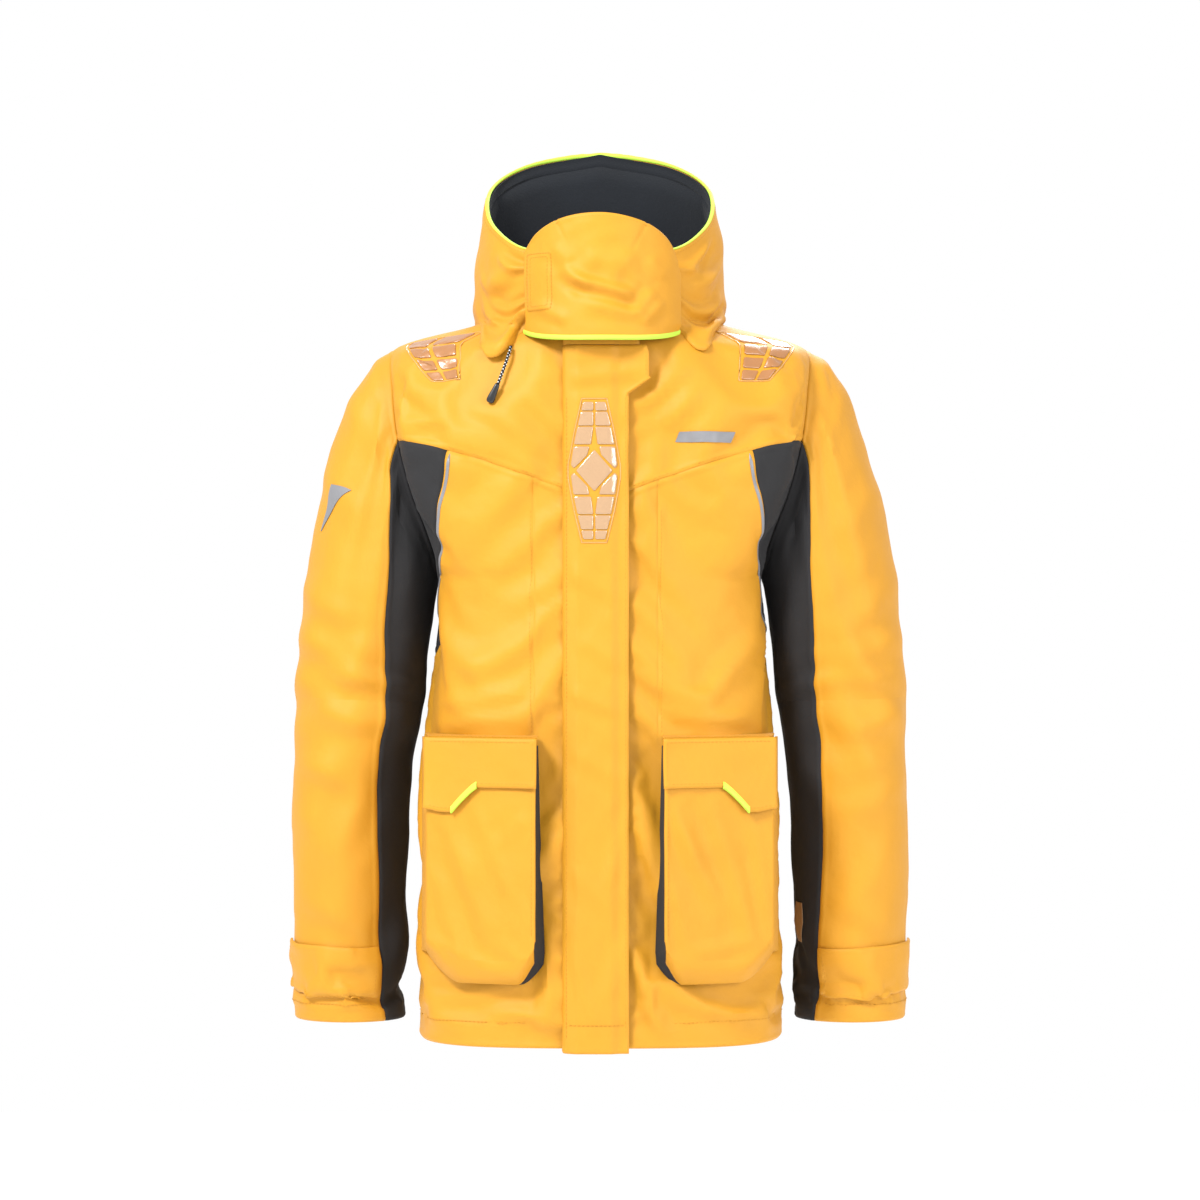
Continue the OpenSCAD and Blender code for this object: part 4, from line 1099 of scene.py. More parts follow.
def collar_pieces():
    neck = Cloth(collar_shape, np.linspace(5, 355, 121), np.linspace(0, 1, 41))
    t, v = neck.us[None], neck.vs[:, None]
    h = ripple(neck.P, 60, 1.6, 21) + ripple(neck.P, 26, 0.5, 22)
    for t0, v0, t1, v1, wide, high in COLLAR_FOLDS:
        # Lengths round the collar are counted in shares of its height, about 90 degrees to the whole height
        ax, ay = (t1 - t0) / 90, v1 - v0
        long = math.hypot(ax, ay)
        along = ((t - t0) / 90 * ax + (v - v0) * ay) / long ** 2
        off = ((t - t0) / 90 * ay - (v - v0) * ax) / long / wide
        fade = smooth((along + 0.15) / 0.4) * smooth((1.15 - along) / 0.4)
        h = h + high * fade * (np.exp(-off * off) - 0.6 * np.exp(-(off - 1.8) ** 2))
    neck.push(h * smooth(v / 0.05) * smooth((t - 4) / 8) * smooth((356 - t) / 8))
    tt = np.linspace(5, 355, 190)
    vv = np.concatenate([[0, 0.004, 0.01, 0.018, 0.03], np.linspace(0.04, 0.975, 54), [0.985, 0.993, 1]])
    P = over(tt, vv, neck.at)
    panel("collar_shell_cloth", P, 1, SHELL_THICK, SHELL, "torso", "collar_shell", "back_yoke_cloth",
          edges=(2, 2, 2, 2))

    # The fleece follows the shell inside, and stands off it round the back where the hood is rolled
    vv = np.concatenate([[0, 0.01, 0.025, 0.045, 0.06, 0.075, 0.09], np.linspace(0.12, 1, 40)])
    v, t = vv[:, None] + 0 * tt[None], tt[None] + 0 * vv[:, None]
    height = mix(rim(t) - 1.5, 9.5, v)
    base = collar(t, -height)
    room = 17 * np.clip(np.where(np.abs(180 - t) < 75, cosd((180 - t) * 1.2), 0), 0, 1) ** 0.6
    back_off = 2.6 + (3.6 + room * sind(20 + 140 * v)) * smooth(v / 0.16)
    ridge = 1.0 * np.exp(-((v - 0.075) / 0.012) ** 2) - 1.4 * np.exp(-((v - 0.055) / 0.01) ** 2)
    in_way = unit(base * np.array([1, 1, 0]))
    P = base - in_way * (back_off - ridge + 1.2 * np.sin(t * 0.11 + 3 * v) * v)[..., None]
    panel("collar_fleece", P, 1, 2.2, FLEECE, "torso", "collar_lining", "collar_shell_cloth")

    # Bound rim: a soft fluoro fold with a faint painted glow, over the edges of shell and fleece, a little
    # puckered at the centre back
    t = np.linspace(5, 355, 240)
    top = neck.at(t, np.full_like(t, 0.004))
    way = unit(np.gradient(top, axis=0))
    out = unit(np.cross(way, [0, 0, 1.0]))
    out *= np.sign((out * top * np.array([1, 1, 0])).sum(-1, keepdims=True))
    swell = 1 + 0.22 * np.exp(-((t - 176) / 7) ** 2) + 0.06 * np.sin(t * 0.9) * np.exp(-((t - 180) / 50) ** 2)
    mid = top - out * 1.6 + np.array([0, 0, 1.0]) * (0.6 + 1.3 * np.exp(-((t - 178) / 60) ** 2))[:, None]
    ring = []
    for q in np.linspace(0, 2 * math.pi, 14, endpoint=False):
        a, b = 1.9 * math.cos(q), (1.05 + 1.5 * np.exp(-((t - 180) / 62) ** 2)) * math.sin(q)
        ring.append(mid + (out * a + np.array([0, 0, 1.0]) * np.reshape(b, (-1, 1))) * swell[:, None])
    ring = np.stack(ring, 1)
    binding = add_mesh("collar_binding", ring.reshape(-1, 3), ring_faces(*ring.shape[:2]))
    dress(binding, FLUORO_PAINTED_GLOW, "torso", ["collar_piping"])

    path = collar(np.linspace(143, 217, 40), -110.0) * HOOD_IN
    roll = tube("stowed_hood_roll", path, 4.4 + 0.3 * np.sin(np.linspace(0, 19, 40)), 14)
    dress(roll, SHELL, "torso", ["stowed_hood"])

    row = line_on(neck, np.linspace(8, 352, 330), np.full(330, 0.045), lift=0.1)
    sew("collar_stitches", "torso", [row])

    # Hanging loop: a strap with rounded edges, sewn down at both ends
    x = np.linspace(-30, 30, 31)
    z = np.array([-1, -1.6, -5, -8.4, -9])[:, None]
    y = 88.2 + 5.6 * smooth((np.abs(x) - 22) / 8)[None] + 0 * z
    P = np.stack([x[None] + 0 * z, y, z + 0 * x[None]], -1)
    panel("hanging_loop_strap", P, -1, 1.6, DARK_CLOTH, "torso", "hanging_loop")


collar_pieces()


# ---------------------------------------------------------------- face guard
def guard_top(a):
    return curve(GUARD, 1, a)


def guard_low(a):
    return -GUARD_DROP + GUARD_LIFT * (np.abs(a) / 65) ** 3


# Folds of the guard, seen from the front
GUARD_FOLDS = [
    (-30, 44, 36, 26, 5.5, 3.4), (-14, 62, 34, 57, 9, 1.5), (30, 68, 8, 40, 9, 1.0),
    (-36, 54, -8, 34, 6, 2.2),
    (-44, 74, -28, 58, 7, 1.3), (52, 30, 34, 6, 6, 2.4), (60, 22, 40, -2, 5, 1.8), (-10, 18, 44, 8, 7, 1.8),
    (-62, 20, -30, 2, 6, 1.6), (46, 62, 64, 46, 7, 1.2)]


def face_guard():
    shape = lambda a, v: guard(a, mix(guard_top(a), guard_low(a), v))
    cloth = Cloth(shape, np.linspace(-65, 64, 66), np.linspace(0, 1, 50))
    v, a = cloth.vs[:, None], cloth.us[None]
    h = ripple(cloth.P, 50, 1.0, 31) + ripple(cloth.P, 20, 0.35, 32)
    for x0, z0, x1, z1, wide, high in GUARD_FOLDS:
        h = h + 1.5 * crease(cloth.P, x0, z0, x1, z1, wide, high)
    h = h + 1.5 * smooth((a - 40) / 24)
    cloth.push(h * smooth(v / 0.08) * smooth((1.01 - v) / 0.12))
    ends = np.array([0, 0.5, 1.2, 2.1])
    us = np.concatenate([-65 + ends, np.linspace(-62, 61, 92), 64 - ends[::-1]])
    vs = np.concatenate([[0, 0.008, 0.018, 0.03, 0.045], np.linspace(0.06, 0.985, 62), [1.0]])
    P = over(us, vs, cloth.at)
    N = normals(P, 1)
    # Darts run down from the crown to either side
    dart = 0
    for x0, z0, x1, z1 in ((-46, 108, -32, 76), (45, 96, 30, 68)):
        ax, az = x1 - x0, z1 - z0
        long = math.hypot(ax, az)
        along = ((P[..., 0] - x0) * ax + (P[..., 2] - z0) * az) / long ** 2
        off = ((P[..., 0] - x0) * az - (P[..., 2] - z0) * ax) / long
        dart = dart - np.exp(-off ** 2) * smooth((1.05 - along) / 0.3)
    # Cloth stands a little proud over the hook tape sewn inside
    X, Z = P[..., 0], P[..., 2]
    box = smooth((X + 70.5) / 2) * smooth((-46 - X) / 2) * smooth((69 - Z) / 2) * smooth((Z - 13) / 2)
    P = P + N * (dart + 0.7 * box)[..., None]
    panel("face_guard_cloth", P, 1, 2.3, SHELL, "face_guard", "face_guard", "collar_shell_cloth",
          edges=(2, 0, 2, 2))

    # Stitched rectangle over the hook tape
    def at_xz(x, z):
        aa = np.degrees(np.arcsin(np.clip((np.asarray(x, float) - GUARD_MID[0]) / GUARD_R, -1, 1)))
        share = (guard_top(aa) - z) / (guard_top(aa) - guard_low(aa))
        return line_on(cloth, aa, share, lift=0.85)
    rows = []
    for x0, x1, z0, z1 in ((-70, -47, 68, 14), (-66.5, -50.5, 64.5, 17.5)):
        rows += [at_xz(np.full(20, x), np.linspace(z0, z1, 20)) for x in (x0, x1)]
        rows += [at_xz(np.linspace(x0, x1, 12), np.full(12, z)) for z in (z0, z1)]
    aa = np.linspace(-63, 62, 130)
    rows.append(line_on(cloth, aa, 3.2 / (guard_top(aa) - guard_low(aa)), lift=0.2))
    sew("face_guard_stitches", "face_guard", rows, pitch=3.4, long=2.4, radius=0.34)

    # Fluoro binding along the lower edge, with a faint painted glow
    aa = np.linspace(-65, 64, 130)
    z = guard_low(aa)
    edge = cloth.at(aa, np.full_like(aa, 1.0))
    rows_z = np.array([0.4, 0.0, -1.2, -2.5, -3.8, -4.2])
    bulge = np.array([0.1, 0.6, 0.9, 0.8, 0.3, -0.4])
    out = unit((edge - np.array([GUARD_MID[0], GUARD_MID[1], 0])) * np.array([1, 1, 0]))
    P = np.stack([edge + out * b + np.array([0, 0, 1.0]) * dz for dz, b in zip(rows_z, bulge)])
    panel("face_guard_binding", P, 1, 3.0, FLUORO_PAINTED_GLOW, "face_guard", "face_guard_hem")

    P = over(np.linspace(-60, -43, 22), np.linspace(62, 8, 60), guard)
    panel("face_guard_hook_tape", P, 1, 1.8, HOOK, "face_guard", "face_guard_hook", lift=-3.1)
    P = over(np.linspace(22, 34, 22), -np.linspace(62, 11, 50), collar) * np.array([-1, 1, 1])
    panel("face_guard_loop_tape", P, -1, 1.4, HOOK, "torso", "face_guard_loop", lift=1.5)


face_guard()


# ---------------------------------------------------------------- zip
def zip_halves():
    for name, side in SIDES.items():
        z = np.linspace(ZIP_TOP, -(BODY_LEN - 6), 150)[:, None]
        x = np.array([3.4, 3.9, 5, 9, 14, 17.6, 18.4])[None]
        P = np.stack([side * (x + 0 * z), -front_depth(-z) + 0 * x, z + 0 * x], -1)
        rib = np.array([0.5, 0.7, 0.1, 0, 0, 0, -0.1])[None] + 0 * z
        P = P + normals(P, side) * rib[..., None]
        panel(f"zip_tape_{name}_cloth", P, side, 0.8, TAPE, "torso", f"zip_tape_{name}",
              f"front_panel_{name}_cloth", lift=1.1)
        # Moulded teeth, each a small block with a rounded nose, set half a step apart on the two sides
        pitch, verts, faces = 3.0, [], []
        block = [(0, 0), (2.2, 0), (3.4, 0.35), (3.4, 0.95), (2.2, 1.3), (0, 1.3)]
        for z0 in np.arange(-(BODY_LEN - 8) + (pitch / 2 if side > 0 else 0), ZIP_TOP - 2, pitch):
            n = len(verts)
            for y in (-1.6, 1.0):
                for bx, bz in block:
                    verts.append([side * (3.7 - bx), -front_depth(-z0) + y, z0 + bz])
            faces += [tuple(n + k for k in range(6)), tuple(n + 11 - k for k in range(6))]
            faces += [(n + k, n + 6 + k, n + 6 + (k + 1) % 6, n + (k + 1) % 6) for k in range(6)]
        if side > 0:
            faces = [f[::-1] for f in faces]
        teeth = add_mesh(f"zip_teeth_{name}", verts, faces, rounded=False)
        dress(teeth, TEETH, "torso", [f"zip_chain_{name}"])


zip_halves()
for node, finish in (("zip_slider", METAL), ("zip_puller", MOULD)):
    shown = bpy.data.objects[node]
    shown.data.materials.clear()
    shown.data.materials.append(finish)


# ---------------------------------------------------------------- storm flap
FLAP_EDGE = 27.5


def flap_edge(d):
    """Place of the flap's free edge: a tab above, a slanted step, then a straight edge."""
    tab = 47.0 - 8 * smooth((30 - d) / 26)
    return np.where(d < 52, tab, np.where(d < 66, mix(49.0, 28.0, (d - 52) / 14), FLAP_EDGE))


# How far the flap's free edge lies back towards the torso, past the zip
EDGE_DIP = 3.2


def flap_rise(x):
    return mix(1.3, FLAP_ROOM, np.clip((x - FLAP_X) / 14, 0, 1) ** 0.7) - EDGE_DIP * smooth((x - 9) / 11)


def flap_sheet(x, d):
    x, d = np.broadcast_arrays(np.asarray(x, float), np.asarray(d, float))
    return np.stack([x, -front_depth(d) - flap_rise(x) - CLOTH, -d], -1)


# Drops of the flap's upper edge, under the face guard, and of the fixed placket's, behind it
FLAP_UP, PLACKET_UP = 20.2, -12.0
# Half width of the chest patch at its corners, by drop
PATCH = np.array([[72, 12], [104, 19], [136, 25], [148, 25], [180, 19], [210, 12]], float)
PATCH_X = -5.5
FLAP_FOLDS = [
    (-30, -52, 40, -44, 7, 2.0), (-20, -66, 30, -90, 7, 1.4), (-34, -236, 20, -262, 8, 1.3),
    (-20, -300, 26, -330, 8, 1.5),
    (-32, -352, 20, -372, 7, 1.4), (-24, -410, 26, -440, 8, 1.3), (26, -470, 8, -540, 7, 1.3),
    (-28, -520, 10, -560, 9, 1.3),
    (24, -590, 4, -650, 8, 1.5), (-26, -604, -2, -676, 8, 1.4), (-30, -150, -34, -230, 5, 1.0),
    (26, -110, 18, -160, 6, 1.3)]


FORWARD = np.array([0, -1.0, 0])


def storm_flap():
    cloth = Cloth(flap_sheet, np.linspace(-36, 49, 40), np.linspace(FLAP_UP, 697, 197))
    cloth.N = 0 * cloth.P + FORWARD
    h = ripple(cloth.P, 60, 0.9, 41) + ripple(cloth.P, 24, 0.3, 42)
    for x0, z0, x1, z1, wide, high in FLAP_FOLDS:
        h = h + crease(cloth.P, x0, z0, x1, z1, wide, high)
    x, d = cloth.P[..., 0], -cloth.P[..., 2]
    h = h + 1.2 * np.sin(d / 31 + 1.3) * smooth((x - 8) / 20) + 2.0 * smooth((x - 26) / 20)
    # The clear patch keeps the cloth under it nearly flat
    beside = smooth((PATCH[:, 1].max() + 4 - np.abs(x - PATCH_X)) / 6)
    calm = 1 - 0.75 * beside * smooth((d - 66) / 8) * smooth((216 - d) / 8)
    cloth.push(h * calm * smooth((x + 34) / 10))
    us = np.concatenate([[0, 0.006, 0.014, 0.025, 0.04, 0.065, 0.09], np.linspace(0.12, 0.94, 30),
                         [0.96, 0.975, 0.986, 0.994, 1]])
    ds = np.unique(np.concatenate([
        [FLAP_UP, FLAP_UP + 0.9, FLAP_UP + 2], np.linspace(FLAP_UP + 5, 50, 14), np.linspace(52, 66, 11),
        np.linspace(69, 686, 150), [690, 692.5, 694.6, 696.1, 697]]))
    edge = flap_edge(ds)[:, None]
    X = mix(FLAP_X, edge, us[None])
    P = cloth.at(X, ds[:, None] + 0 * X)
    N = 0 * P + FORWARD
    seam = -1.5 * np.exp(-((X - FLAP_X) / 1.3) ** 2)
    hem = -0.5 * np.exp(-((ds[:, None] - HEM_ROW) / 1.3) ** 2)
    P = P + N * (seam + hem)[..., None]
    panel("storm_flap_cloth", P, 1, CLOTH, SHELL, "storm_flap", "storm_flap", "front_panel_right_cloth",
          edges=(2, 2, 0, 2))

    d, inset = np.arange(70, 684, 3.0), FLAP_EDGE - 3
    x = np.linspace(-30, 24, 20)
    rows = [line_on(cloth, u, v, lift=0.15) for u, v in (
        (FLAP_X + 4 + 0 * d, d), (inset + 0 * d, d), (np.linspace(inset, 44, 8), np.linspace(70, 53, 8)),
        (np.full(10, 44.0), np.linspace(50, 26, 10)))]
    rows.append(line_on(cloth, x, HEM_ROW + 0 * x, lift=0.2))
    sew("storm_flap_stitches", "storm_flap", rows)
    return cloth


# Hook and loop strips that hold the storm flap shut: drops of their upper ends, and their length
STRIP_STARTS, STRIP_LEN = (110, 240, 370, 500, 600), 84


def flap_strips():
    """Ribbed strips: hooks under the flap, loops on the body."""
    for label, body_name in (("storm_flap_hook", "storm_flap"), ("storm_flap_loop", "torso")):
        hooks = label.endswith("hook")
        lo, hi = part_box(label)
        x0, x1 = lo.x / MM, hi.x / MM
        verts, faces = [], []
        for start in STRIP_STARTS:
            drops = np.linspace(start, start + STRIP_LEN, 60)
            n = len(verts)
            for k, drop in enumerate(drops):
                if hooks:
                    near = -front_depth(drop) - (FLAP_ROOM - 0.3 - EDGE_DIP * smooth((x0 - 7) / 11))
                else:
                    near = float(front.at(even_x(x1 - 3.5, drop), drop)[1]) - 3.4
                bump = 0.25 * (k % 2)
                y0, y1 = (near, near + 1.5 + bump) if hooks else (near - bump, near + 1.5)
                verts += [[x0, y0, -drop], [x1, y0, -drop], [x1, y1, -drop], [x0, y1, -drop]]
            for b in range(n, n + 4 * (len(drops) - 1), 4):
                faces += [(b + j, b + 4 + j, b + 4 + (j + 1) % 4, b + (j + 1) % 4) for j in range(4)]
            faces += [(n, n + 1, n + 2, n + 3), tuple(n + 4 * (len(drops) - 1) + j for j in (3, 2, 1, 0))]
        dress(add_mesh(label + "_tape", verts, faces, rounded=False), HOOK, body_name, [label])


flap_cloth = storm_flap()
flap_strips()


def placket_top():
    """Fixed cloth over the zip behind the face guard, level with the storm flap below it."""
    P = over(np.linspace(-36, 38, 30), np.linspace(PLACKET_UP, FLAP_UP - 0.5, 16), flap_sheet)
    panel("placket_top_cloth", P, 1, SHELL_THICK, SHELL, "torso", None, "collar_shell_cloth",
          edges=(2, 0, 1, 2))


placket_top()


# ---------------------------------------------------------------- clear patches with domed cells
def domed_cells(name, cells, surface, high, lift):
    """Cells are corner lists on a surface; each becomes a low dome with softened corners."""
    # Scale of each level's outline and its share of the height
    levels = [(1.0, 0.0), (0.985, 0.55), (0.93, 0.85), (0.8, 1.0), (0.5, 1.08)]
    verts, faces = [], []
    for corners in cells:
        c = np.array(corners, float)
        # Each side is cut near its corners, so that the outline is rounded
        outline = []
        for a, b in zip(c, np.roll(c, -1, 0)):
            r = min(0.2, 0.9 / max(np.linalg.norm(b - a), 1e-6))
            outline += [mix(a, b, f) for f in np.linspace(r, 1 - r, 6)]
        outline = np.array(outline)
        mid = outline.mean(0)
        n0, count = len(verts), len(outline)

        def raised(q, h):
            P, N = surface(q[:, 0], q[:, 1])
            return list(P + N * h)
        for scale, h in levels:
            verts += raised(mid + (outline - mid) * scale, lift + high * h)
        verts += raised(mid[None], lift + high * 1.1) + raised(outline, lift - 0.25)
        top = n0 + (len(levels) - 1) * count
        tip = top + count
        base = tip + 1
        for k in range(count):
            after = (k + 1) % count
            faces += [(i + k, i + after, i + after + count, i + k + count) for i in range(n0, top, count)]
            faces += [(top + k, top + after, tip), (base + k, n0 + k, n0 + after, base + after)]
        faces.append(tuple(base + k for k in range(count))[::-1])
    return add_mesh(name, verts, faces)


def right_way(piece):
    """Turns every face of a closed mesh outwards."""
    work = bmesh.new()
    work.from_mesh(piece.data)
    bmesh.ops.recalc_face_normals(work, faces=work.faces)
    work.to_mesh(piece.data)
    work.free()
    piece.data.update()


def rib(name, line, surface, radius, lift):
    """A thin raised line along closed corner points on a surface."""
    pts = []
    line = np.array(line, float)
    for a, b in zip(line, np.roll(line, -1, 0)):
        steps = max(2, int(np.linalg.norm(b - a) / 3))
        pts += [mix(a, b, f) for f in np.linspace(0, 1, steps, endpoint=False)]
    pts = np.array(pts + [line[0]])
    P, N = surface(pts[:, 0], pts[:, 1])
    return tube(name, P + N * lift, radius, 6)


def clear_patch(name, cells, outline, surface, mat, body_name, node, high, radius):
    """A patch of domed cells with a raised outline."""
    piece = domed_cells(f"{name}_cells", cells, surface, high, 0.35)
    right_way(piece)
    dress(piece, mat, body_name, [node])
    dress(rib(f"{name}_outline", outline, surface, radius, 0.25), OUTLINE, body_name)


def chest_patch(cloth):
    """Two mirrored fans of cells, above and below a square cell."""
    wide = lambda d: np.interp(d, PATCH[:, 0], PATCH[:, 1])
    inner = lambda d: spine + 2.2 * smooth((d - 100) / 16)
    cells = []
    top, low = PATCH[0, 0], PATCH[-1, 0]
    margin, spine, bar = 1.9, 0.9, 1.1
    for way in (1, -1):
        for d0, d1 in ((top + 2.6, 84.0), (84.0, 98.5), (98.5, 116.5)):
            a, b = d0 + bar / 2, d1 - bar / 2
            for s in (-1, 1):
                cells.append([(s * inner(d0), a), (s * (wide(d0) - margin), a),
                              (s * (wide(d1) - margin), b), (s * inner(d1), b)])
        for s in (-1, 1):
            cells.append([(s * 4.6, 118.0), (s * (wide(118) - margin), 118.0), (s * 22.2, 136.0),
                          (s * 19.5, 139.0), (s * 6.6, 126.0)])
        if way > 0:
            upper, cells = cells, []
    cells = upper + [[(x, top + low - d) for x, d in c] for c in cells]
    cells.append([(0, 121.0), (17.5, 141.0), (0, 161.0), (-17.5, 141.0)])
    cells = [[(PATCH_X + x, d) for x, d in c] for c in cells]
    corners = PATCH.tolist()
    outline = [(PATCH_X + w, d) for d, w in corners] + [(PATCH_X - w, d) for d, w in corners[::-1]]
    clear_patch("chest_patch", cells, outline, lambda x, d: line_on(cloth, x, d), PATCH_MAT, "storm_flap",
                "chest_patch", 0.85, 0.65)


def shoulder_patches():
    scale = 40.0
    for name, side in SIDES.items():
        def surface(x, y, side=side):
            u, v = x / scale, y / scale
            t = mix(mix(48, 74, u), mix(39.5, 52, u), v)
            d = mix(mix(2, 10, u), 50, v)
            return line_on(front, even(t, d) * side, d)
        cells = []
        for k in range(4):
            v0, v1 = k / 4 + 0.025, (k + 1) / 4 - 0.025
            for u0, u1 in ((0.07, 0.46), (0.54, 0.93)):
                corners = [(u0, v0), (u1, v0), (u1, v1), (u0, v1)]
                cells.append([(u * scale, v * scale) for u, v in corners])
        outline = [(0, 0), (scale, 0), (scale, scale), (0, scale)]
        clear_patch(f"shoulder_patch_{name}", cells, outline, surface, PATCH_BACK, "torso",
                    f"shoulder_patch_{name}", 0.8, 0.6)


chest_patch(flap_cloth)
shoulder_patches()


# ---------------------------------------------------------------- cargo pockets
POCKET_IN, POCKET_END, POCKET_MOUTH, POCKET_LOW = 62.0, 168.0, 404.0, 632.0
POCKET_OUT, POCKET_TURN = 26.0, 0.38
FLAP_DROP, FLAP_LEN, LOBE_LEN, FLAP_REST = 396.0, 48.0, 24.0, 1.6


def pocket_y(x, d):
    return -front_depth(d) - POCKET_OUT + POCKET_TURN * (np.asarray(x, float) - POCKET_IN)


def pocket_floor(x):
    return (POCKET_LOW - 22 * np.clip(1 - (x - POCKET_IN) / 16, 0, 1) ** 1.5
            - 26 * np.clip((x - POCKET_END + 34) / 34, 0, 1) ** 1.6)


def pocket_point(x, v):
    """Outside of the wearer's left pocket; v runs from the mouth to the closed lower edge."""
    x, v = np.broadcast_arrays(np.asarray(x, float), np.asarray(v, float))
    floor = pocket_floor(x)
    d = mix(POCKET_MOUTH - 6, floor, v)
    wall = np.clip((x - 166) / 8, 0, 1)
    on = torso_y(np.minimum(x, curve(TORSO, 1, d) * 0.985) - 3 * wall, d) - 2.4
    out = mix(pocket_y(x, d), on - 4, wall ** 1.5)
    close = np.clip((floor - d) / 16, 0, 1) ** 0.5
    return np.stack([x, mix(on - CLOTH, np.minimum(out, on - CLOTH), close), -d], -1)


# Folds of the pockets, seen from the front, for the wearer's right and left
POCKET_FOLDS = {
    "right": [(-150, -470, -100, -600, 9, 2.4), (-120, -460, -78, -560, 8, 1.6),
              (-160, -520, -130, -610, 8, 1.8),
              (-68, -470, -96, -500, 7, 1.4), (-100, -590, -66, -612, 7, 1.4),
              (-164, -590, -100, -618, 6, 1.6)],
    "left": [(70, -470, 118, -560, 8, 2.0), (104, -450, 150, -600, 9, 2.2), (66, -520, 84, -600, 7, 1.6),
             (150, -480, 164, -590, 7, 1.6), (88, -600, 150, -590, 7, 1.8), (68, -456, 92, -520, 6, 1.2)]}


def pocket_flap_edge(x):
    """Drop of the flap's stepped lower edge."""
    lobe = LOBE_LEN * np.clip((x - 118) / 24, 0, 1) ** 1.2
    return FLAP_DROP + FLAP_LEN + lobe - 3 * smooth((x - 150) / 20)


def flap_point(x, d):
    """Outside of the wearer's left pocket flap before its folds."""
    x, d = np.broadcast_arrays(x, d)
    return np.stack([x, pocket_y(x, d) - FLAP_REST - CLOTH, -d], -1)


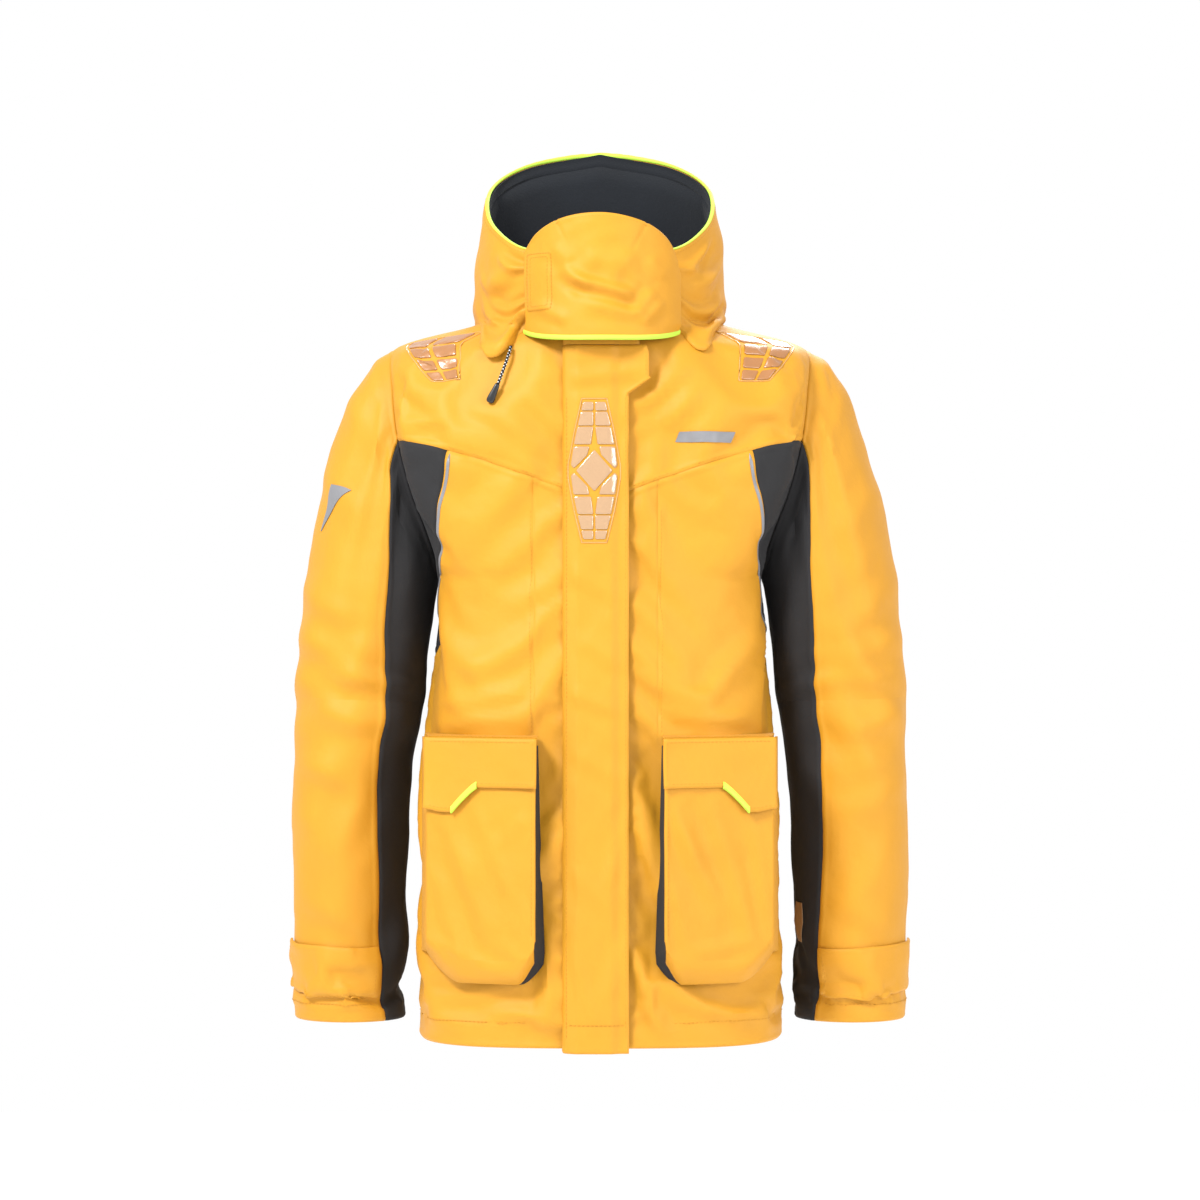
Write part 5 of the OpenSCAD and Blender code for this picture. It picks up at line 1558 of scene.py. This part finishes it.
def pocket_pieces():
    for name, side in SIDES.items():
        us = np.linspace(62, 174, 70)
        cloth = Cloth(lambda x, v, s=side: flip(pocket_point(x, v), s), us, np.linspace(0, 1, 90), out=side)
        x, v = cloth.us[None], cloth.vs[:, None]
        h = ripple(cloth.P, 55, 1.0, 51 + side) + ripple(cloth.P, 22, 0.35, 55 + side)
        for fold in POCKET_FOLDS[name]:
            h = h + crease(cloth.P, *fold)
        cloth.push(h * smooth((x - 60) / 12) * smooth((172 - x) / 12) * smooth((1 - v) / 0.1))
        xs = np.concatenate([62 + np.array([0, 0.7, 1.6, 2.8, 4.2]), np.linspace(68, 164, 40),
                             np.linspace(165, 174, 13)])
        vs = np.concatenate([np.linspace(0, 0.9, 64), 1 - np.geomspace(0.1, 0.0006, 18), [1]])
        P = over(xs, vs, cloth.at)
        panel(f"pocket_{name}_cloth", P, side, SHELL_THICK, SHELL, "torso", f"pocket_{name}",
              f"front_panel_{name}_cloth", edges=(0, 2, 2, 2))

        vv = np.linspace(0.2, 0.86, 90)
        sew(f"pocket_{name}_stitches", "torso", [line_on(cloth, POCKET_IN + 3 + 0 * vv, vv, lift=0.15)])

        # Dark gusset from the torso to the inner edge of the pocket, and round its lower corner
        v = np.linspace(0.03, 0.955, 60)
        straight = cloth.at(np.full_like(v, 62.3), v) * np.array([side, 1, 1])
        xc = np.linspace(63, 84, 20)
        corner = cloth.at(xc, np.full_like(xc, 0.992)) * np.array([side, 1, 1])
        edge = np.concatenate([straight, corner])
        turn = np.concatenate([np.zeros(60), np.linspace(15, 62, 20)])
        wide = np.concatenate([np.interp(-straight[:, 2], [400, 480, 600], [3.0, 5.0, 9.5]),
                               np.linspace(9.5, 0.6, 20)])
        u = np.linspace(0, 1, 12)[:, None]
        X = edge[:, 0] - wide * cosd(turn) * (1 - u) + 0.4 * np.sin(math.pi * u) * np.sin(edge[:, 2] / 23)
        Z = edge[:, 2] - wide * sind(turn) * (1 - u)
        back_y = torso_y(X[0], -Z[0]) - 1.4
        Y = mix(back_y, np.minimum(edge[:, 1] + 1.2, back_y - 0.6), u ** 1.15)
        P = flip(np.stack([X, Y, Z], -1).transpose(1, 0, 2), side)
        panel(f"pocket_gusset_{name}_cloth", P, side, 1.3, DARK_CLOTH, "torso", f"pocket_gusset_{name}",
              f"front_panel_{name}_cloth")

        xs2 = np.linspace(60, 170, 46)[None]
        w = np.linspace(0, 1, 10)[:, None]
        d0 = 394.6
        start = torso_y(np.minimum(xs2, curve(TORSO, 1, d0) * 0.985), d0) - 0.6
        stop = np.minimum(pocket_y(xs2, FLAP_DROP) + 1.2, start - 1)
        fade = smooth((170.5 - xs2) / 6)
        Y = start + (stop - start) * w ** 0.85 * mix(0.4, 1, fade)
        Z = -(d0 + (FLAP_DROP - 0.4 - d0) * w ** 1.6) + 0 * xs2
        P = flip(np.stack([xs2 + 0 * w, Y, Z], -1), side)
        panel(f"pocket_roof_{name}_cloth", P, side, 1.6, SHELL, "torso", None, f"front_panel_{name}_cloth")

        # Flap with a stepped lower edge, on its own hinge
        flap = Cloth(lambda x, d, s=side: flip(flap_point(x, d), s), np.linspace(61, 170, 60),
                     np.linspace(396, 472, 40), out=side)
        x, d = flap.us[None], flap.vs[:, None]
        h = ripple(flap.P, 50, 0.8, 61 + side) + ripple(flap.P, 22, 0.25, 65 + side)
        h = h + 1.6 * smooth((d - 436) / 30) * smooth((x - 116) / 30)
        h = h + 1.2 * smooth((d - 420) / 30) * smooth((90 - x) / 30)
        flap.push(h * smooth((d - 396) / 12))
        xs3 = np.concatenate([61 + np.array([0, 0.7, 1.6, 2.8, 4.4]), np.linspace(68, 116, 18),
                              np.linspace(118, 143, 20), np.linspace(146, 165, 9),
                              170 - np.array([2.8, 1.6, 0.7, 0])])
        edge = pocket_flap_edge(xs3)
        vs3 = np.concatenate([[0, 0.012, 0.03, 0.06], np.linspace(0.1, 0.9, 22), [0.94, 0.965, 0.985, 1]])
        D = FLAP_DROP + (edge[None] - FLAP_DROP) * vs3[:, None]
        P = flap.at(xs3[None] + 0 * D, D)
        # The fold at the top rolls back over the roof
        N = normals(P, side)
        P = P - N * (1.8 * np.exp(-(D - FLAP_DROP) / 1.6))[..., None]
        panel(f"pocket_flap_{name}_cloth", P, side, 2.4, SHELL, f"pocket_flap_{name}",
              f"pocket_flap_{name}", f"pocket_roof_{name}_cloth", edges=(2, 2, 2, 2))
        rows = [line_on(flap, xs3[3:-3], edge[3:-3] - 4.0, lift=0.15),
                line_on(flap, np.full(14, 64.0), np.linspace(400, 438, 14), lift=0.15),
                line_on(flap, np.linspace(66, 166, 50), np.full(50, 400.5), lift=0.1)]
        sew(f"pocket_flap_{name}_stitches", f"pocket_flap_{name}", rows)
        # Fluoro accent along the lobe of the flap's edge, with a faint painted glow
        xs4 = np.linspace(117.5, 142.5, 30)
        e = pocket_flap_edge(xs4)
        band = np.array([-5.4, -4.8, -2.4, 0.2, 0.9])[:, None]
        P = flap.at(xs4[None] + 0 * band, e[None] + band)
        bulge = np.array([0.1, 0.55, 0.75, 0.6, -1.0])[:, None]
        P = P + normals(P, side) * (bulge + 0 * xs4[None])[..., None]
        panel(f"flap_accent_{name}_film", P, side, 0.5, FLUORO_PAINTED_GLOW, f"pocket_flap_{name}", f"flap_accent_{name}",
              lift=0.5)


pocket_pieces()
